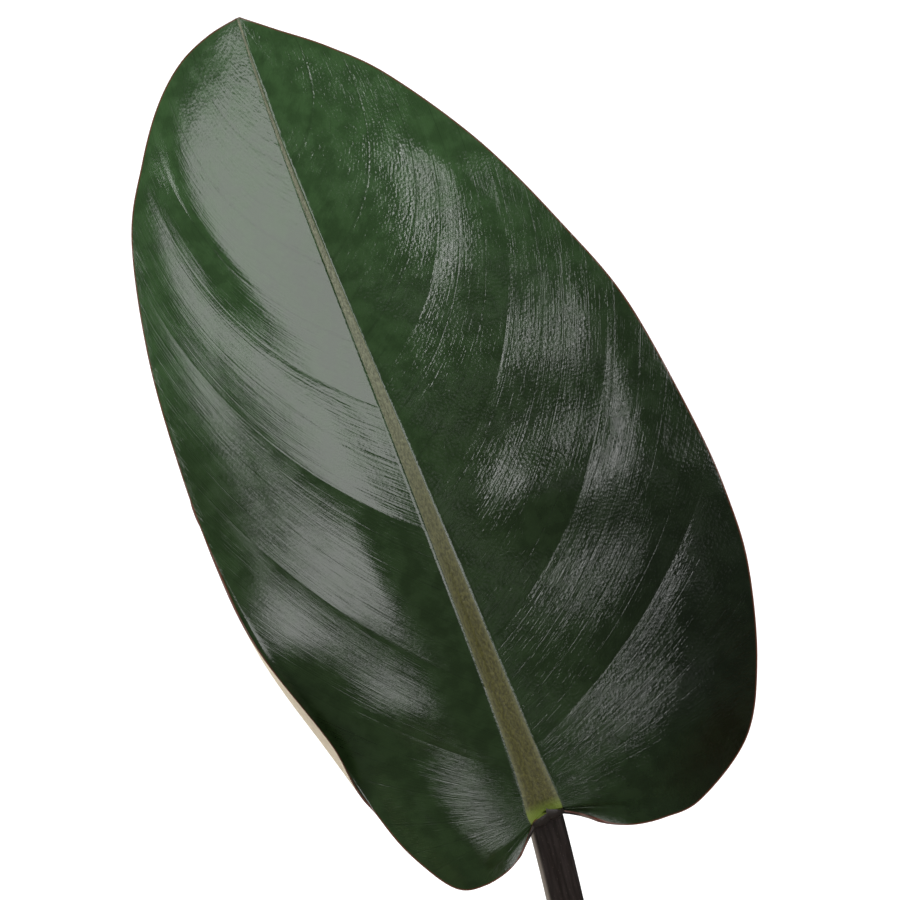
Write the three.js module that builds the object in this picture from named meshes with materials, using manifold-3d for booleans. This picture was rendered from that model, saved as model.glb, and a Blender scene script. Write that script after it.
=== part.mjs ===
// A potted philodendron with large oval leaves, standing in a plain grower's pot.
// Lengths are in millimetres and +Z is up. The origin is the middle of the pot's flat base.
// Leaves are listed from the oldest and lowest to the newest, in the order in which they left the stem.

import * as THREE from 'three';
import { mergeVertices } from 'three/addons/utils/BufferGeometryUtils.js';
import Module from 'manifold-3d';

const wasm = await Module();
wasm.setup();

// Room kept between two pieces that touch.
const SEAT = 0.3;
const DEGREE = Math.PI / 180;
const UP = new THREE.Vector3(0, 0, 1);

// Pot: a tapered wall with a stepped rim and a bead. It stands on a middle disc and an outer foot ring,
// with a raised channel between them that holds the drain holes.
const POT = {
  height: 155,
  wall: 2,
  footRadius: 60,
  shoulderRadius: 80,
  shoulderHeight: 137,
  rimRadius: 86.5,
  rimFlare: 1.5,
  beadRadius: 88,
  beadHeight: 3,
  discRadius: 26,
  channelHeight: 4,
  footRingWidth: 6,
  moldedSlope: 2,
  sides: 40,
};
const DRAIN = { count: 8, radius: 4.5, ringRadius: 40, depth: 20, sides: 12 };
const NOTCH = { count: 4, width: 8, height: 2.4, length: 20 };

// Potting mix: it fills the pot to just under the rim's step, and rises a little toward the stem.
const MIX = { edgeHeight: 136, crownHeight: 141, swell: 1.6, bottomRound: 3, sides: 32 };

// Stem: short and thick, with its foot buried in the mix. Each level is a height above the foot
// and a radius there; it swells under each group of leaves.
const STEM = {
  foot: 108,
  top: 244,
  sides: 20,
  levels: [
    [0, 14], [6, 19], [44, 19.6], [52, 18], [70, 18.6], [78, 17], [96, 16.8], [112, 15], [126, 13], [133, 9.5],
  ],
};

// Leaves leave the stem at even steps, each turned by the golden angle from the last.
const SPIRAL = { height: 160, rise: 9, angle: 247.5, turn: 137.5 };

// Petiole: D-shaped in section, flat toward the stem, and spread at the foot where it clasps the stem.
// It leans out from the stem, and a knee below the blade turns it to near the blade's own line.
const PETIOLE = {
  halfWidth: 4.8,
  depth: 5,
  flatShare: 0.45,
  footSpread: 1.9,
  footFade: 9,
  footDepthShare: 0.2,
  inset: 6,
  lean: 33,
  leanReach: 0.42,
  kneeAngle: 13,
  kneeReach: 0.24,
  sides: 10,
  steps: 9,
};

// Blade, at the size of the tall leaf. Each outline lists half widths and heights above the petiole,
// from the notch beside the petiole, round the lobe and up the side to the tip.
const BLADE = { length: 240, thickness: 0.9, notchDepth: 1.2, rows: 15, columns: [0, 0.33, 0.67, 1] };
const NARROW_SIDE = [
  [3.9, -1], [8.5, -6], [14, -10.8], [23, -12.9], [31, -10.8], [38.3, 0], [43.5, 13], [50.5, 40],
  [57.5, 70], [60.6, 100], [60.5, 128], [57.5, 160], [50.1, 192], [39.7, 211], [24.5, 230], [10, 237.5],
  [0.6, 240],
];
const BROAD_SIDE = [
  [4.8, -1.2], [9.9, -4.3], [14.5, -8.6], [21.5, -12.2], [31, -13.5], [42.5, -12], [60.3, 0], [70.5, 19],
  [77.5, 44], [79.2, 64], [78.3, 86], [73, 125], [64, 152], [51, 182], [34, 209], [21, 223], [9, 233],
  [0.6, 240],
];

// The midrib is a thick cord under the blade, widest at the petiole, that bows a little to the narrow side.
const MIDRIB = { halfWidth: 4.6, tipHalfWidth: 0.35, depth: 6, bow: 1.5 };
// Each half rises from the midrib by its fold, and bends by its cup, which is counted at the reach.
const CURVE = { reach: 60, waveLength: 17 };
// Low on the tall leaf, the narrow half folds up more and levels off sooner.
const LOW = { from: 0.6, full: 0.1, fold: 0.34, cup: 36 };
// The tall leaf's margins turn back, less so toward the tip and not at all where veins are short.
const SHOULDER = { foot: 1.15, fades: [0.75, 1.1], shortVein: 8, fullVein: 33 };
// Side veins leave the midrib at a slant, and bend up along the margin.
const VEIN = { narrow: [0.9, 0.4], broad: [0.78, 0.3] };

// Each leaf: the foot of its blade, the compass turn of its tip, the tip's pitch above level, its roll
// about its own length, its size, and how strongly it folds, cups, arches, droops and waves. Folds and
// cups are for the narrow and the broad half. All angles in degrees.
const LEAVES = [
  { name: 'leaf_1', base: [-44, -98, 256], turn: 250, pitch: -30, roll: 12, length: 212, width: 1,
    folds: [0.3, 0.3], cups: [-11.7, -11.7], arch: 12, droop: 34, wave: 2.2, mirrored: true },
  { name: 'leaf_2', base: [80, 36, 290], turn: 24, pitch: -20, roll: 18, length: 212, width: 1.02,
    folds: [0.28, 0.28], cups: [-11, -11], arch: 12, droop: 30, wave: 2, mirrored: false },
  { name: 'leaf_3', base: [-92, 27, 306], turn: 165, pitch: -16, roll: -24, length: 225, width: 0.98,
    folds: [0.32, 0.32], cups: [-12.5, -12.5], arch: 12, droop: 36, wave: 1.8, mirrored: true },
  { name: 'leaf_4', base: [46, -82, 326], turn: 301, pitch: -26, roll: -8, length: 228, width: 1,
    folds: [0.34, 0.34], cups: [-13.3, -13.3], arch: 12, droop: 34, wave: 2.4, mirrored: false },
  { name: 'leaf_5', base: [14, 74, 318], turn: 79, pitch: -37, roll: 8, length: 222, width: 1,
    folds: [0.3, 0.3], cups: [-11.7, -11.7], arch: 12, droop: 26, wave: 1.6, mirrored: true },
  { name: 'leaf_6', base: [-76, -54, 362], turn: 212, pitch: -4, roll: -26, length: 232, width: 1,
    folds: [0.34, 0.34], cups: [-13.3, -13.3], arch: 12, droop: 38, wave: 2, mirrored: false },
  { name: 'leaf_7', base: [86, -12, 386], turn: 350, pitch: 10, roll: 24, length: 232, width: 0.98,
    folds: [0.34, 0.34], cups: [-13.3, -13.3], arch: 12, droop: 34, wave: 1.6, mirrored: true },
  { name: 'tall_leaf', base: [-50, 45, 400], turn: 127.8, pitch: 53.9, roll: -32, length: 240, width: 1,
    folds: [0.26, 0.15], cups: [-4, 6], arch: 12, droop: 13, wave: 0, mirrored: false,
    foldsLow: true, shoulders: [1.8, 2.8] },
  { name: 'newest_leaf', base: [2, -54, 372], turn: 272, pitch: 38, roll: 14, length: 176, width: 0.92,
    folds: [0.5, 0.5], cups: [-19.6, -19.6], arch: 12, droop: 22, wave: 1, mirrored: true },
];

// Spear: the next leaf, still rolled. A red sheath wraps its foot, and opens toward its own tip.
const SPEAR = { tip: [5, 3, 372], radius: 8, footShare: 0.56, belly: 0.4, blunt: 0.4, sides: 10, steps: 10 };
const SHEATH = { height: 84, thickness: 1.2, halfAngle: 115, flare: 2.5, points: 6, steps: 7 };

// Prop roots: from the lower stem, out and down into the mix.
const ROOT = { radius: 2.6, sides: 8, steps: 9, inset: 12, sag: 8, buried: 14 };
const ROOTS = [
  { turn: 20, start: 158, reach: 52 },
  { turn: 118, start: 152, reach: 44 },
  { turn: 196, start: 160, reach: 56 },
  { turn: 318, start: 154, reach: 48 },
];

const FINISHES = {
  leaf: { color: 0x24351f, roughness: 0.3 },
  newLeaf: { color: 0x4a1f1a, roughness: 0.3 },
  petiole: { color: 0x2a211e, roughness: 0.4 },
  redStalk: { color: 0x6b1d22, roughness: 0.4 },
  stem: { color: 0x4a3b2a, roughness: 0.7 },
  root: { color: 0x8a6f4e, roughness: 0.8 },
  mix: { color: 0x2b211a, roughness: 0.95 },
  pot: { color: 0x9a4f33, roughness: 0.6 },
};

function geometryOf(positions, triangles) {
  const geometry = new THREE.BufferGeometry();
  geometry.setAttribute('position', new THREE.Float32BufferAttribute(positions, 3));
  geometry.setIndex(triangles);
  return geometry;
}

// Makes a closed geometry a solid, so that a piece can be cut by its neighbour.
function solidOf(geometry) {
  const bare = geometry.clone();
  bare.deleteAttribute('normal');
  bare.deleteAttribute('uv');
  const merged = mergeVertices(bare, 1e-3);
  const index = merged.index.array;
  const triangles = [];
  for (let i = 0; i < index.length; i += 3) {
    const [a, b, c] = [index[i], index[i + 1], index[i + 2]];
    if (a !== b && b !== c && c !== a) triangles.push(a, b, c);
  }
  return new wasm.Manifold(new wasm.Mesh({
    numProp: 3,
    vertProperties: new Float32Array(merged.attributes.position.array),
    triVerts: new Uint32Array(triangles),
  }));
}

function cutAway(geometry, cutters) {
  let solid = solidOf(geometry);
  for (const cutter of cutters) solid = solid.subtract(solidOf(cutter));
  const mesh = solid.getMesh();
  return geometryOf(Array.from(mesh.vertProperties), Array.from(mesh.triVerts));
}

// Skins a row of rings into one closed body. A ring runs left to right over the top and back underneath,
// so each of its points has a partner across the body, and the two ends are closed between partners.
function loft(rings) {
  const count = rings[0].length;
  const positions = rings.flat().flatMap((point) => point.toArray());
  const triangles = [];
  const quad = (a, b, c, d) => triangles.push(a, b, c, a, c, d);
  for (let i = 0; i + 1 < rings.length; i += 1) {
    for (let j = 0; j < count; j += 1) {
      const next = (j + 1) % count;
      quad(i * count + j, i * count + next, (i + 1) * count + next, (i + 1) * count + j);
    }
  }
  const last = (rings.length - 1) * count;
  for (let j = 0; j + 1 < count / 2; j += 1) {
    const partner = count - 1 - j;
    quad(j, partner, partner - 1, j + 1);
    quad(last + j, last + j + 1, last + partner - 1, last + partner);
  }
  return geometryOf(positions, triangles);
}

// Turns a profile of [radius, height] points round the Z axis.
function revolve(profile, sides) {
  const points = profile.map(([radius, height]) => new THREE.Vector2(radius, height));
  return new THREE.LatheGeometry(points, sides).rotateX(Math.PI / 2);
}

// Places a ring's points by angle, starting at the left, in a plane given by its two directions.
function ringAround(middle, sideways, facing, sides, reachAt) {
  return Array.from({ length: sides }, (unused, j) => {
    const angle = Math.PI - (j + 0.5) * 2 * Math.PI / sides;
    const [wide, deep] = reachAt(angle);
    return middle.clone()
      .addScaledVector(sideways, wide * Math.cos(angle))
      .addScaledVector(facing, deep * Math.sin(angle));
  });
}

function drainHole(order) {
  const angle = (order + 0.5) * 2 * Math.PI / DRAIN.count;
  const hole = new THREE.CylinderGeometry(DRAIN.radius, DRAIN.radius, DRAIN.depth, DRAIN.sides);
  hole.rotateX(Math.PI / 2);
  return hole.translate(DRAIN.ringRadius * Math.cos(angle), DRAIN.ringRadius * Math.sin(angle), 0);
}

function footNotch(order) {
  const notch = new THREE.BoxGeometry(NOTCH.length, NOTCH.width, 2 * NOTCH.height);
  notch.translate(POT.footRadius - POT.footRingWidth / 2, 0, 0);
  return notch.rotateZ(order * 2 * Math.PI / NOTCH.count);
}

function pot() {
  const { height, wall, moldedSlope: slope, shoulderHeight: shoulder } = POT;
  const floor = POT.channelHeight + wall;
  const outside = [
    [0, 0],
    [POT.discRadius, 0],
    [POT.discRadius + slope, POT.channelHeight],
    [POT.footRadius - POT.footRingWidth - slope, POT.channelHeight],
    [POT.footRadius - POT.footRingWidth, 0],
    [POT.footRadius - slope / 2, 0],
    [POT.footRadius, slope],
    [POT.shoulderRadius, shoulder],
    [POT.rimRadius - POT.rimFlare, shoulder + slope],
    [POT.rimRadius, height - POT.beadHeight - slope / 2],
    [POT.beadRadius, height - POT.beadHeight],
    [POT.beadRadius, height - slope / 2],
    [POT.beadRadius - slope, height],
  ];
  const inside = [
    [POT.rimRadius - wall, height - slope / 2],
    [POT.rimRadius - POT.rimFlare - wall, shoulder + 2 * slope],
    [POT.shoulderRadius - wall, shoulder + slope],
    [POT.footRadius - wall, floor + slope],
    [POT.footRadius - wall - slope, floor],
    [0, floor],
  ];
  const holes = Array.from({ length: DRAIN.count }, (unused, i) => drainHole(i));
  const notches = Array.from({ length: NOTCH.count }, (unused, i) => footNotch(i));
  return cutAway(revolve([...outside, ...inside], POT.sides), [...holes, ...notches]);
}

// The stem. "extra" makes it bigger all over, which gives the room that its neighbours leave round it.
function stem(extra = 0) {
  const sides = STEM.levels.map(([rise, radius]) => (
    [radius + extra, STEM.foot + rise - (rise === 0 ? extra : 0)]));
  return revolve([[0, STEM.foot - extra], ...sides, [0, STEM.top + extra]], STEM.sides);
}

function root({ turn, start, reach }, extra = 0) {
  const out = new THREE.Vector3(Math.cos(turn * DEGREE), Math.sin(turn * DEGREE), 0);
  const at = (radius, height) => out.clone().multiplyScalar(radius).setZ(height);
  const path = new THREE.CatmullRomCurve3([
    at(ROOT.inset, start),
    at(2 * ROOT.inset, start - 1),
    at(reach * 0.75, start - ROOT.sag),
    at(reach, MIX.edgeHeight + 1),
    at(reach + 2, MIX.edgeHeight - ROOT.buried - extra),
  ]);
  const section = new THREE.Shape().absarc(0, 0, ROOT.radius + extra, 0, 2 * Math.PI);
  return new THREE.ExtrudeGeometry(section, {
    steps: ROOT.steps, curveSegments: ROOT.sides / 2, bevelEnabled: false, extrudePath: path,
  });
}

// Potting mix: the inside of the pot, less the stem's foot and the roots.
function pottingMix() {
  const floor = POT.channelHeight + POT.wall + SEAT;
  const low = POT.footRadius - POT.wall - 2 * SEAT;
  const taper = (POT.shoulderRadius - POT.footRadius) / (POT.shoulderHeight - POT.moldedSlope);
  const wide = low + taper * (MIX.edgeHeight - floor - MIX.bottomRound);
  const profile = [
    [0, floor],
    [low - MIX.bottomRound, floor],
    [low, floor + MIX.bottomRound],
    [wide, MIX.edgeHeight],
    [wide * 0.8, MIX.edgeHeight + MIX.swell],
    [wide * 0.5, MIX.crownHeight - MIX.swell],
    [wide / 3, MIX.crownHeight],
    [0, MIX.crownHeight],
  ];
  return cutAway(revolve(profile, MIX.sides), [stem(SEAT), ...ROOTS.map((each) => root(each, SEAT))]);
}

function poseOf(leaf) {
  const turn = new THREE.Euler(leaf.pitch * DEGREE, leaf.roll * DEGREE, (leaf.turn - 90) * DEGREE, 'ZXY');
  return new THREE.Quaternion().setFromEuler(turn);
}

function midribHalfWidth(share) {
  return MIDRIB.halfWidth * (1 - share) ** 1.6 + MIDRIB.tipHalfWidth;
}

// How far up the midrib the side vein starts that ends this far round the outline.
function veinStart(round) {
  return 0.85 * round ** 3 + 0.15 * round ** 12;
}

// How far the upper face stands out toward whoever looks at it.
function bladeRise(leaf, narrow, across, along) {
  const share = along / BLADE.length;
  const out = Math.abs(across);
  const low = leaf.foldsLow && narrow ? 1 - THREE.MathUtils.smoothstep(share, LOW.full, LOW.from) : 0;
  const half = narrow ? 0 : 1;
  const fold = leaf.folds[half] + LOW.fold * low;
  const cup = leaf.cups[half] - LOW.cup * low ** 6;
  const wave = leaf.wave * Math.sin(along / CURVE.waveLength + leaf.turn);
  const arch = leaf.arch * share - leaf.droop * share * share;
  return fold * out + arch + (cup + wave) * (out / CURVE.reach) ** 2;
}

function midribPoint(leaf, share) {
  const bow = MIDRIB.bow * Math.sin(Math.PI * share ** 3) * (leaf.mirrored ? 1 : -1);
  return new THREE.Vector2(bow, share * BLADE.length);
}

// One row of points from the edge of the midrib to the margin, along a side vein.
function bladeRow(leaf, side, outline, round) {
  const narrow = (side < 0) !== leaf.mirrored;
  const share = veinStart(round);
  const start = midribPoint(leaf, share);
  const rim = outline.getPointAt(round);
  const end = new THREE.Vector2(side * rim.x, rim.y);
  const [across, along] = narrow ? VEIN.narrow : VEIN.broad;
  const bend = new THREE.Vector2(
    start.x + across * (end.x - start.x),
    start.y + along * (end.y - start.y),
  );
  const vein = new THREE.QuadraticBezierCurve(start, bend, end);
  const length = start.distanceTo(end);
  const edge = Math.min(midribHalfWidth(share) / length, 0.5);
  const half = narrow ? 0 : 1;
  const strength = (leaf.shoulders?.[half] ?? 0) * (SHOULDER.foot - SHOULDER.fades[half] * share);
  const turnedBack = strength * THREE.MathUtils.smoothstep(length, SHOULDER.shortVein, SHOULDER.fullVein);
  return BLADE.columns.map((column) => {
    const { x, y } = vein.getPoint(edge + (1 - edge) * column);
    return new THREE.Vector3(x, y, bladeRise(leaf, narrow, x, y) - (column === 1 ? turnedBack : 0));
  });
}

function bladeRing(leaf, outlines, round) {
  const left = bladeRow(leaf, -1, outlines[0], round).reverse();
  const right = bladeRow(leaf, 1, outlines[1], round);
  const share = veinStart(round);
  const { x, y } = midribPoint(leaf, share);
  const middle = new THREE.Vector3(x, y, bladeRise(leaf, (x < 0) !== leaf.mirrored, x, y));
  const cord = MIDRIB.depth * (1 - share) ** 1.2;
  const top = [...left, middle, ...right];
  const under = top.map((point) => (
    point.clone().setZ(point.z - BLADE.thickness - (point === middle ? cord : 0))));
  return [...top, ...under.reverse()];
}

// Rows lie closer together round the lobes and at the tip, where the outline turns fastest.
function blade(leaf) {
  const curves = [NARROW_SIDE, BROAD_SIDE].map((outline) => (
    new THREE.SplineCurve(outline.map(([x, y]) => new THREE.Vector2(x, y)))));
  const outlines = leaf.mirrored ? curves.reverse() : curves;
  const rings = [];
  for (let i = 0; i <= BLADE.rows; i += 1) {
    const even = i / BLADE.rows;
    const eased = (1 - Math.cos(Math.PI * even)) / 2;
    rings.push(bladeRing(leaf, outlines, (even + eased) / 2));
  }
  return loft(rings);
}

// The petiole's middle line, from inside the stem to just past the end face of the midrib.
function petiolePath(leaf, order) {
  const turn = (SPIRAL.angle + SPIRAL.turn * order) * DEGREE;
  const out = new THREE.Vector3(Math.cos(turn), Math.sin(turn), 0);
  const pose = poseOf(leaf);
  const size = leaf.length / BLADE.length;
  const tipward = new THREE.Vector3(0, 1, 0).applyQuaternion(pose);
  const facing = new THREE.Vector3(0, 0, 1).applyQuaternion(pose);
  const start = out.clone().multiplyScalar(PETIOLE.inset).setZ(SPIRAL.height + SPIRAL.rise * order);
  const end = new THREE.Vector3(...leaf.base)
    .addScaledVector(facing, -size * (BLADE.thickness + MIDRIB.depth) / 2)
    .add(tipward);
  const span = end.clone().sub(start);
  const lean = out.clone().multiplyScalar(Math.sin(PETIOLE.lean * DEGREE))
    .addScaledVector(UP, Math.cos(PETIOLE.lean * DEGREE));
  const knee = new THREE.Vector3().crossVectors(tipward, span).normalize();
  const turned = Math.min(tipward.angleTo(span), PETIOLE.kneeAngle * DEGREE);
  const arrive = tipward.clone().applyAxisAngle(knee, turned);
  const curve = new THREE.CubicBezierCurve3(
    start,
    start.clone().addScaledVector(lean, span.length() * PETIOLE.leanReach),
    end.clone().addScaledVector(arrive, -span.length() * PETIOLE.kneeReach),
    end,
  );
  return { curve, out, facing, size };
}

function petiole(leaf, order) {
  const { curve, out, facing, size } = petiolePath(leaf, order);
  const inward = out.clone().negate();
  const rings = [];
  for (let i = 0; i <= PETIOLE.steps; i += 1) {
    const share = i / PETIOLE.steps;
    const spread = 1 + (PETIOLE.footSpread - 1) * Math.exp(-PETIOLE.footFade * share);
    const wide = PETIOLE.halfWidth * size * spread;
    const deep = PETIOLE.depth * size * (1 + PETIOLE.footDepthShare * (spread - 1));
    const along = curve.getTangentAt(share);
    const flat = inward.clone().lerp(facing, share).addScaledVector(UP, SEAT);
    flat.addScaledVector(along, -flat.dot(along)).normalize();
    const sideways = along.clone().cross(flat);
    rings.push(ringAround(curve.getPointAt(share), sideways, flat, PETIOLE.sides, (angle) => (
      [wide, deep * (angle > 0 ? PETIOLE.flatShare : 1)])));
  }
  return loft(rings);
}

// The space of the blade, from just short of the midrib's end face, where the petiole stops.
function bladeSpace(leaf) {
  const size = leaf.length / BLADE.length;
  const box = new THREE.BoxGeometry(60, 40, 60);
  box.translate(0, 20 - BLADE.notchDepth * size - SEAT, 0);
  box.applyQuaternion(poseOf(leaf));
  return box.translate(...leaf.base);
}

// The spear's middle line and radius, by the share of its height.
function spearMiddle(share) {
  const foot = new THREE.Vector3(0, 0, STEM.top + SEAT);
  const tip = new THREE.Vector3(...SPEAR.tip);
  const bend = foot.clone().setZ((foot.z + tip.z) / 2);
  return new THREE.QuadraticBezierCurve3(foot, bend, tip).getPoint(share);
}

function spearRadius(share) {
  const belly = SPEAR.footShare + SPEAR.belly * Math.sin(Math.PI * Math.min(share / 0.8, 1)) ** 1.5;
  return SPEAR.radius * belly * (1 - share ** 4) + SPEAR.blunt;
}

function spear() {
  const right = new THREE.Vector3(1, 0, 0);
  const back = new THREE.Vector3(0, -1, 0);
  const rings = [];
  for (let i = 0; i <= SPEAR.steps; i += 1) {
    const share = i / SPEAR.steps;
    const radius = spearRadius(share);
    rings.push(ringAround(spearMiddle(share), right, back, SPEAR.sides, () => [radius, radius]));
  }
  return loft(rings);
}

function sheath() {
  const share = SHEATH.height / (SPEAR.tip[2] - STEM.top);
  const rings = [];
  for (let i = 0; i <= SHEATH.steps; i += 1) {
    const rise = i / SHEATH.steps;
    const middle = spearMiddle(share * rise);
    const inner = spearRadius(share * rise) + 2 * SEAT + SHEATH.flare * rise;
    const wrap = SHEATH.halfAngle * (1 - 0.93 * rise ** 2.2) * DEGREE;
    const arc = (radius) => Array.from({ length: SHEATH.points }, (unused, j) => {
      const angle = wrap * (2 * j / (SHEATH.points - 1) - 1);
      return new THREE.Vector3(Math.cos(angle), Math.sin(angle), 0).multiplyScalar(radius).add(middle);
    });
    rings.push([...arc(inner + SHEATH.thickness), ...arc(inner).reverse()]);
  }
  return loft(rings);
}

const plant = new THREE.Group();

function addPiece(name, geometry, { color, roughness }) {
  const material = new THREE.MeshStandardMaterial({ color, roughness, metalness: 0 });
  const mesh = new THREE.Mesh(geometry, material);
  mesh.name = name;
  plant.add(mesh);
  return mesh;
}

addPiece('pot', pot(), FINISHES.pot);
addPiece('potting_mix', pottingMix(), FINISHES.mix);
addPiece('stem', stem(), FINISHES.stem);
ROOTS.forEach((each, i) => {
  addPiece(`prop_root_${i + 1}`, cutAway(root(each), [stem(SEAT)]), FINISHES.root);
});
addPiece('spear', spear(), FINISHES.redStalk);
addPiece('spear_sheath', sheath(), FINISHES.redStalk);

LEAVES.forEach((leaf, order) => {
  const young = leaf.name === 'newest_leaf';
  const stalk = cutAway(petiole(leaf, order), [stem(SEAT), bladeSpace(leaf)]);
  addPiece(`${leaf.name}_petiole`, stalk, young ? FINISHES.redStalk : FINISHES.petiole);
  const lamina = addPiece(`${leaf.name}_blade`, blade(leaf), young ? FINISHES.newLeaf : FINISHES.leaf);
  const size = leaf.length / BLADE.length;
  lamina.position.set(...leaf.base);
  lamina.quaternion.copy(poseOf(leaf));
  lamina.scale.set(size * leaf.width, size, size);
});

export default plant;
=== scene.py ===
# %% [markdown]
# # A potted philodendron
# The real plant stands in a grower's pot. A short thick stem carries large glossy leaves on dark
# stalks, and the next leaf is still rolled up in a red sheath. The construction model gives each piece
# its size and place. This lesson loads it as a fixed frame and gives each piece its fine shape and finish.

# %% Load the fixed frame
import math

import bpy
import numpy as np
from mathutils import Matrix, Vector


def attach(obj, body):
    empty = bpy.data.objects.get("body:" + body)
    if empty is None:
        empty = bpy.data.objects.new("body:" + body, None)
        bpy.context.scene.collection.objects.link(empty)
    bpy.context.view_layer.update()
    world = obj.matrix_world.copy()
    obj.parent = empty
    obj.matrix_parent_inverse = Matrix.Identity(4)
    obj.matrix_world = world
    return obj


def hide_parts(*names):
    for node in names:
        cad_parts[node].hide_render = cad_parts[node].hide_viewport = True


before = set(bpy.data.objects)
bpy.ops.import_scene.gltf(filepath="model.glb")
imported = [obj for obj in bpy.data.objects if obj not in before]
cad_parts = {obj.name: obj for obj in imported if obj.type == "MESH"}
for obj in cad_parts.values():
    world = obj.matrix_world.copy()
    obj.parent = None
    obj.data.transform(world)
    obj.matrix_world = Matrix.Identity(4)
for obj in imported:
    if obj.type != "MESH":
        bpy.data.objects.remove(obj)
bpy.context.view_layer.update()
MM = 0.001
DEGREE = math.pi / 180

# %% [markdown]
# Blender's operators act on all that is selected, and the loaded nodes are selected when they arrive.
# So every step starts by letting go of everything. Each finished piece also has to say what it rides on
# and which node it stands for.

# %% Selecting, and handing a piece to the frame


def select_only(*pieces):
    bpy.ops.object.select_all(action="DESELECT")
    for piece in pieces:
        piece.select_set(True)
    if pieces:
        bpy.context.view_layer.objects.active = pieces[0]


def fix_in_mesh(piece):
    """Puts the object's place, turn and size into its mesh."""
    select_only(piece)
    bpy.ops.object.transform_apply(location=True, rotation=True, scale=True)


def hand_over(piece, node):
    """The piece stands for its node, from the frame's origin."""
    fix_in_mesh(piece)
    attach(piece, "root")
    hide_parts(node)
    print(node, "triangles:", sum(len(face.vertices) - 2 for face in piece.data.polygons))


def apply_modifiers(piece):
    select_only(piece)
    for modifier in list(piece.modifiers):
        bpy.ops.object.modifier_apply(modifier=modifier.name)


def points_of(piece):
    points = np.empty(len(piece.data.vertices) * 3)
    piece.data.vertices.foreach_get("co", points)
    return points.reshape(-1, 3)


def set_points(piece, points):
    piece.data.vertices.foreach_set("co", np.ascontiguousarray(points, dtype=np.float64).ravel())
    piece.data.update()


print("every piece of this plant rides on the one body, root")

# %% [markdown]
# The photograph looks down at the tall leaf from the front, and shows nothing else. The camera stands on
# the line that faces this blade, far enough away to see it almost without perspective, and a long lens
# makes the blade as large in the frame as it is there. The foot of the blade and its tip are the two
# marks by which the camera was aimed.

# %% The camera
# In metres, pixels, radians and, for the sensor, millimetres.
BLADE_FOOT = Vector((-0.050, 0.045, 0.400))
PICTURE_SIDE = 900
FOOT_PIXEL = (545, 812)
PIXELS_PER_METRE = 3550
CAMERA_RISE = 30 * DEGREE
CAMERA_DISTANCE = 1.5
SENSOR = 36

RIGHT = Vector((1, 0, 0))
UP = Vector((0, math.sin(CAMERA_RISE), math.cos(CAMERA_RISE)))
TO_CAMERA = RIGHT.cross(UP)
aim = BLADE_FOOT + RIGHT * ((PICTURE_SIDE / 2 - FOOT_PIXEL[0]) / PIXELS_PER_METRE)
aim += UP * ((FOOT_PIXEL[1] - PICTURE_SIDE / 2) / PIXELS_PER_METRE)
bpy.ops.object.camera_add(
    location=aim + TO_CAMERA * CAMERA_DISTANCE, rotation=(math.pi / 2 - CAMERA_RISE, 0, 0))
camera = bpy.context.object
camera.name = "camera"
camera.data.sensor_width = SENSOR
camera.data.lens = SENSOR * CAMERA_DISTANCE * PIXELS_PER_METRE / PICTURE_SIDE
camera.data.clip_start = 0.05
camera.data.clip_end = 50
bpy.context.scene.camera = camera
print("camera aims at", [round(v, 3) for v in aim], "lens", round(camera.data.lens, 1))

# %% [markdown]
# Colours are written as the hex values that a picture program shows. The renderer works with linear
# light, so one function turns them. Another small function adds a node of any kind. The kinds that come
# up again and again get a short name here: the node's type, its settings, the sockets that its values go
# to, and the output that is wanted of it.

# %% Colours and nodes
BLEND = ("ShaderNodeMix", {"data_type": "RGBA"}, (0, 6, 7), 2)
STRETCH = ("ShaderNodeMapRange", {"interpolation_type": "SMOOTHSTEP"}, (0, 1, 2, 3, 4), 0)
TIMES = ("ShaderNodeMath", {"operation": "MULTIPLY"}, (0, 1), 0)
PLUS = ("ShaderNodeMath", {"operation": "ADD"}, (0, 1), 0)
DISTANCE = ("ShaderNodeVectorMath", {"operation": "LENGTH"}, (0,), "Value")
PLACED = ("ShaderNodeMapping", {}, ("Vector", "Scale"), 0)
SPLIT = ("ShaderNodeSeparateXYZ", {}, (0,), None)
BUMP = ("ShaderNodeBump", {}, ("Height", "Distance", "Strength", "Normal"), 0)
NOISE = ("ShaderNodeTexNoise", {}, (), 0)
FLAT_NOISE = ("ShaderNodeTexNoise", {"noise_dimensions": "2D"}, (), 0)
OBJECT_PLACE = ("ShaderNodeTexCoord", {}, (), "Object")


def linear(hex_colour):
    """A colour as the renderer wants it, from the sRGB hex value."""
    parts = [int(hex_colour[i:i + 2], 16) / 255 for i in (1, 3, 5)]
    return [p / 12.92 if p <= 0.04045 else ((p + 0.055) / 1.055) ** 2.4 for p in parts] + [1]


def node(tree, kind, *values, **inputs):
    """Adds a node, with a number, a hex colour or a link in each socket, and gives back its output."""
    type_name, settings, sockets, output = kind
    added = tree.nodes.new(type_name)
    for name, value in settings.items():
        setattr(added, name, value)
    for socket, value in [*zip(sockets, values), *inputs.items()]:
        if isinstance(value, bpy.types.NodeSocket):
            tree.links.new(value, added.inputs[socket])
        else:
            added.inputs[socket].default_value = linear(value) if isinstance(value, str) else value
    return added.outputs if output is None else added.outputs[output]


def new_material(name):
    """A material with a Principled shader, which comes back with its node tree."""
    material = bpy.data.materials.new(name)
    material.use_nodes = True
    return material, material.node_tree, material.node_tree.nodes["Principled BSDF"]


def connect(tree, shader, **links):
    """Links each output to the shader's socket of that name."""
    for name, value in links.items():
        tree.links.new(value, shader.inputs[name.replace("_", " ")])


print("mid grey, #808080, is", round(linear("#808080")[0], 3), "in linear light")

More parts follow.
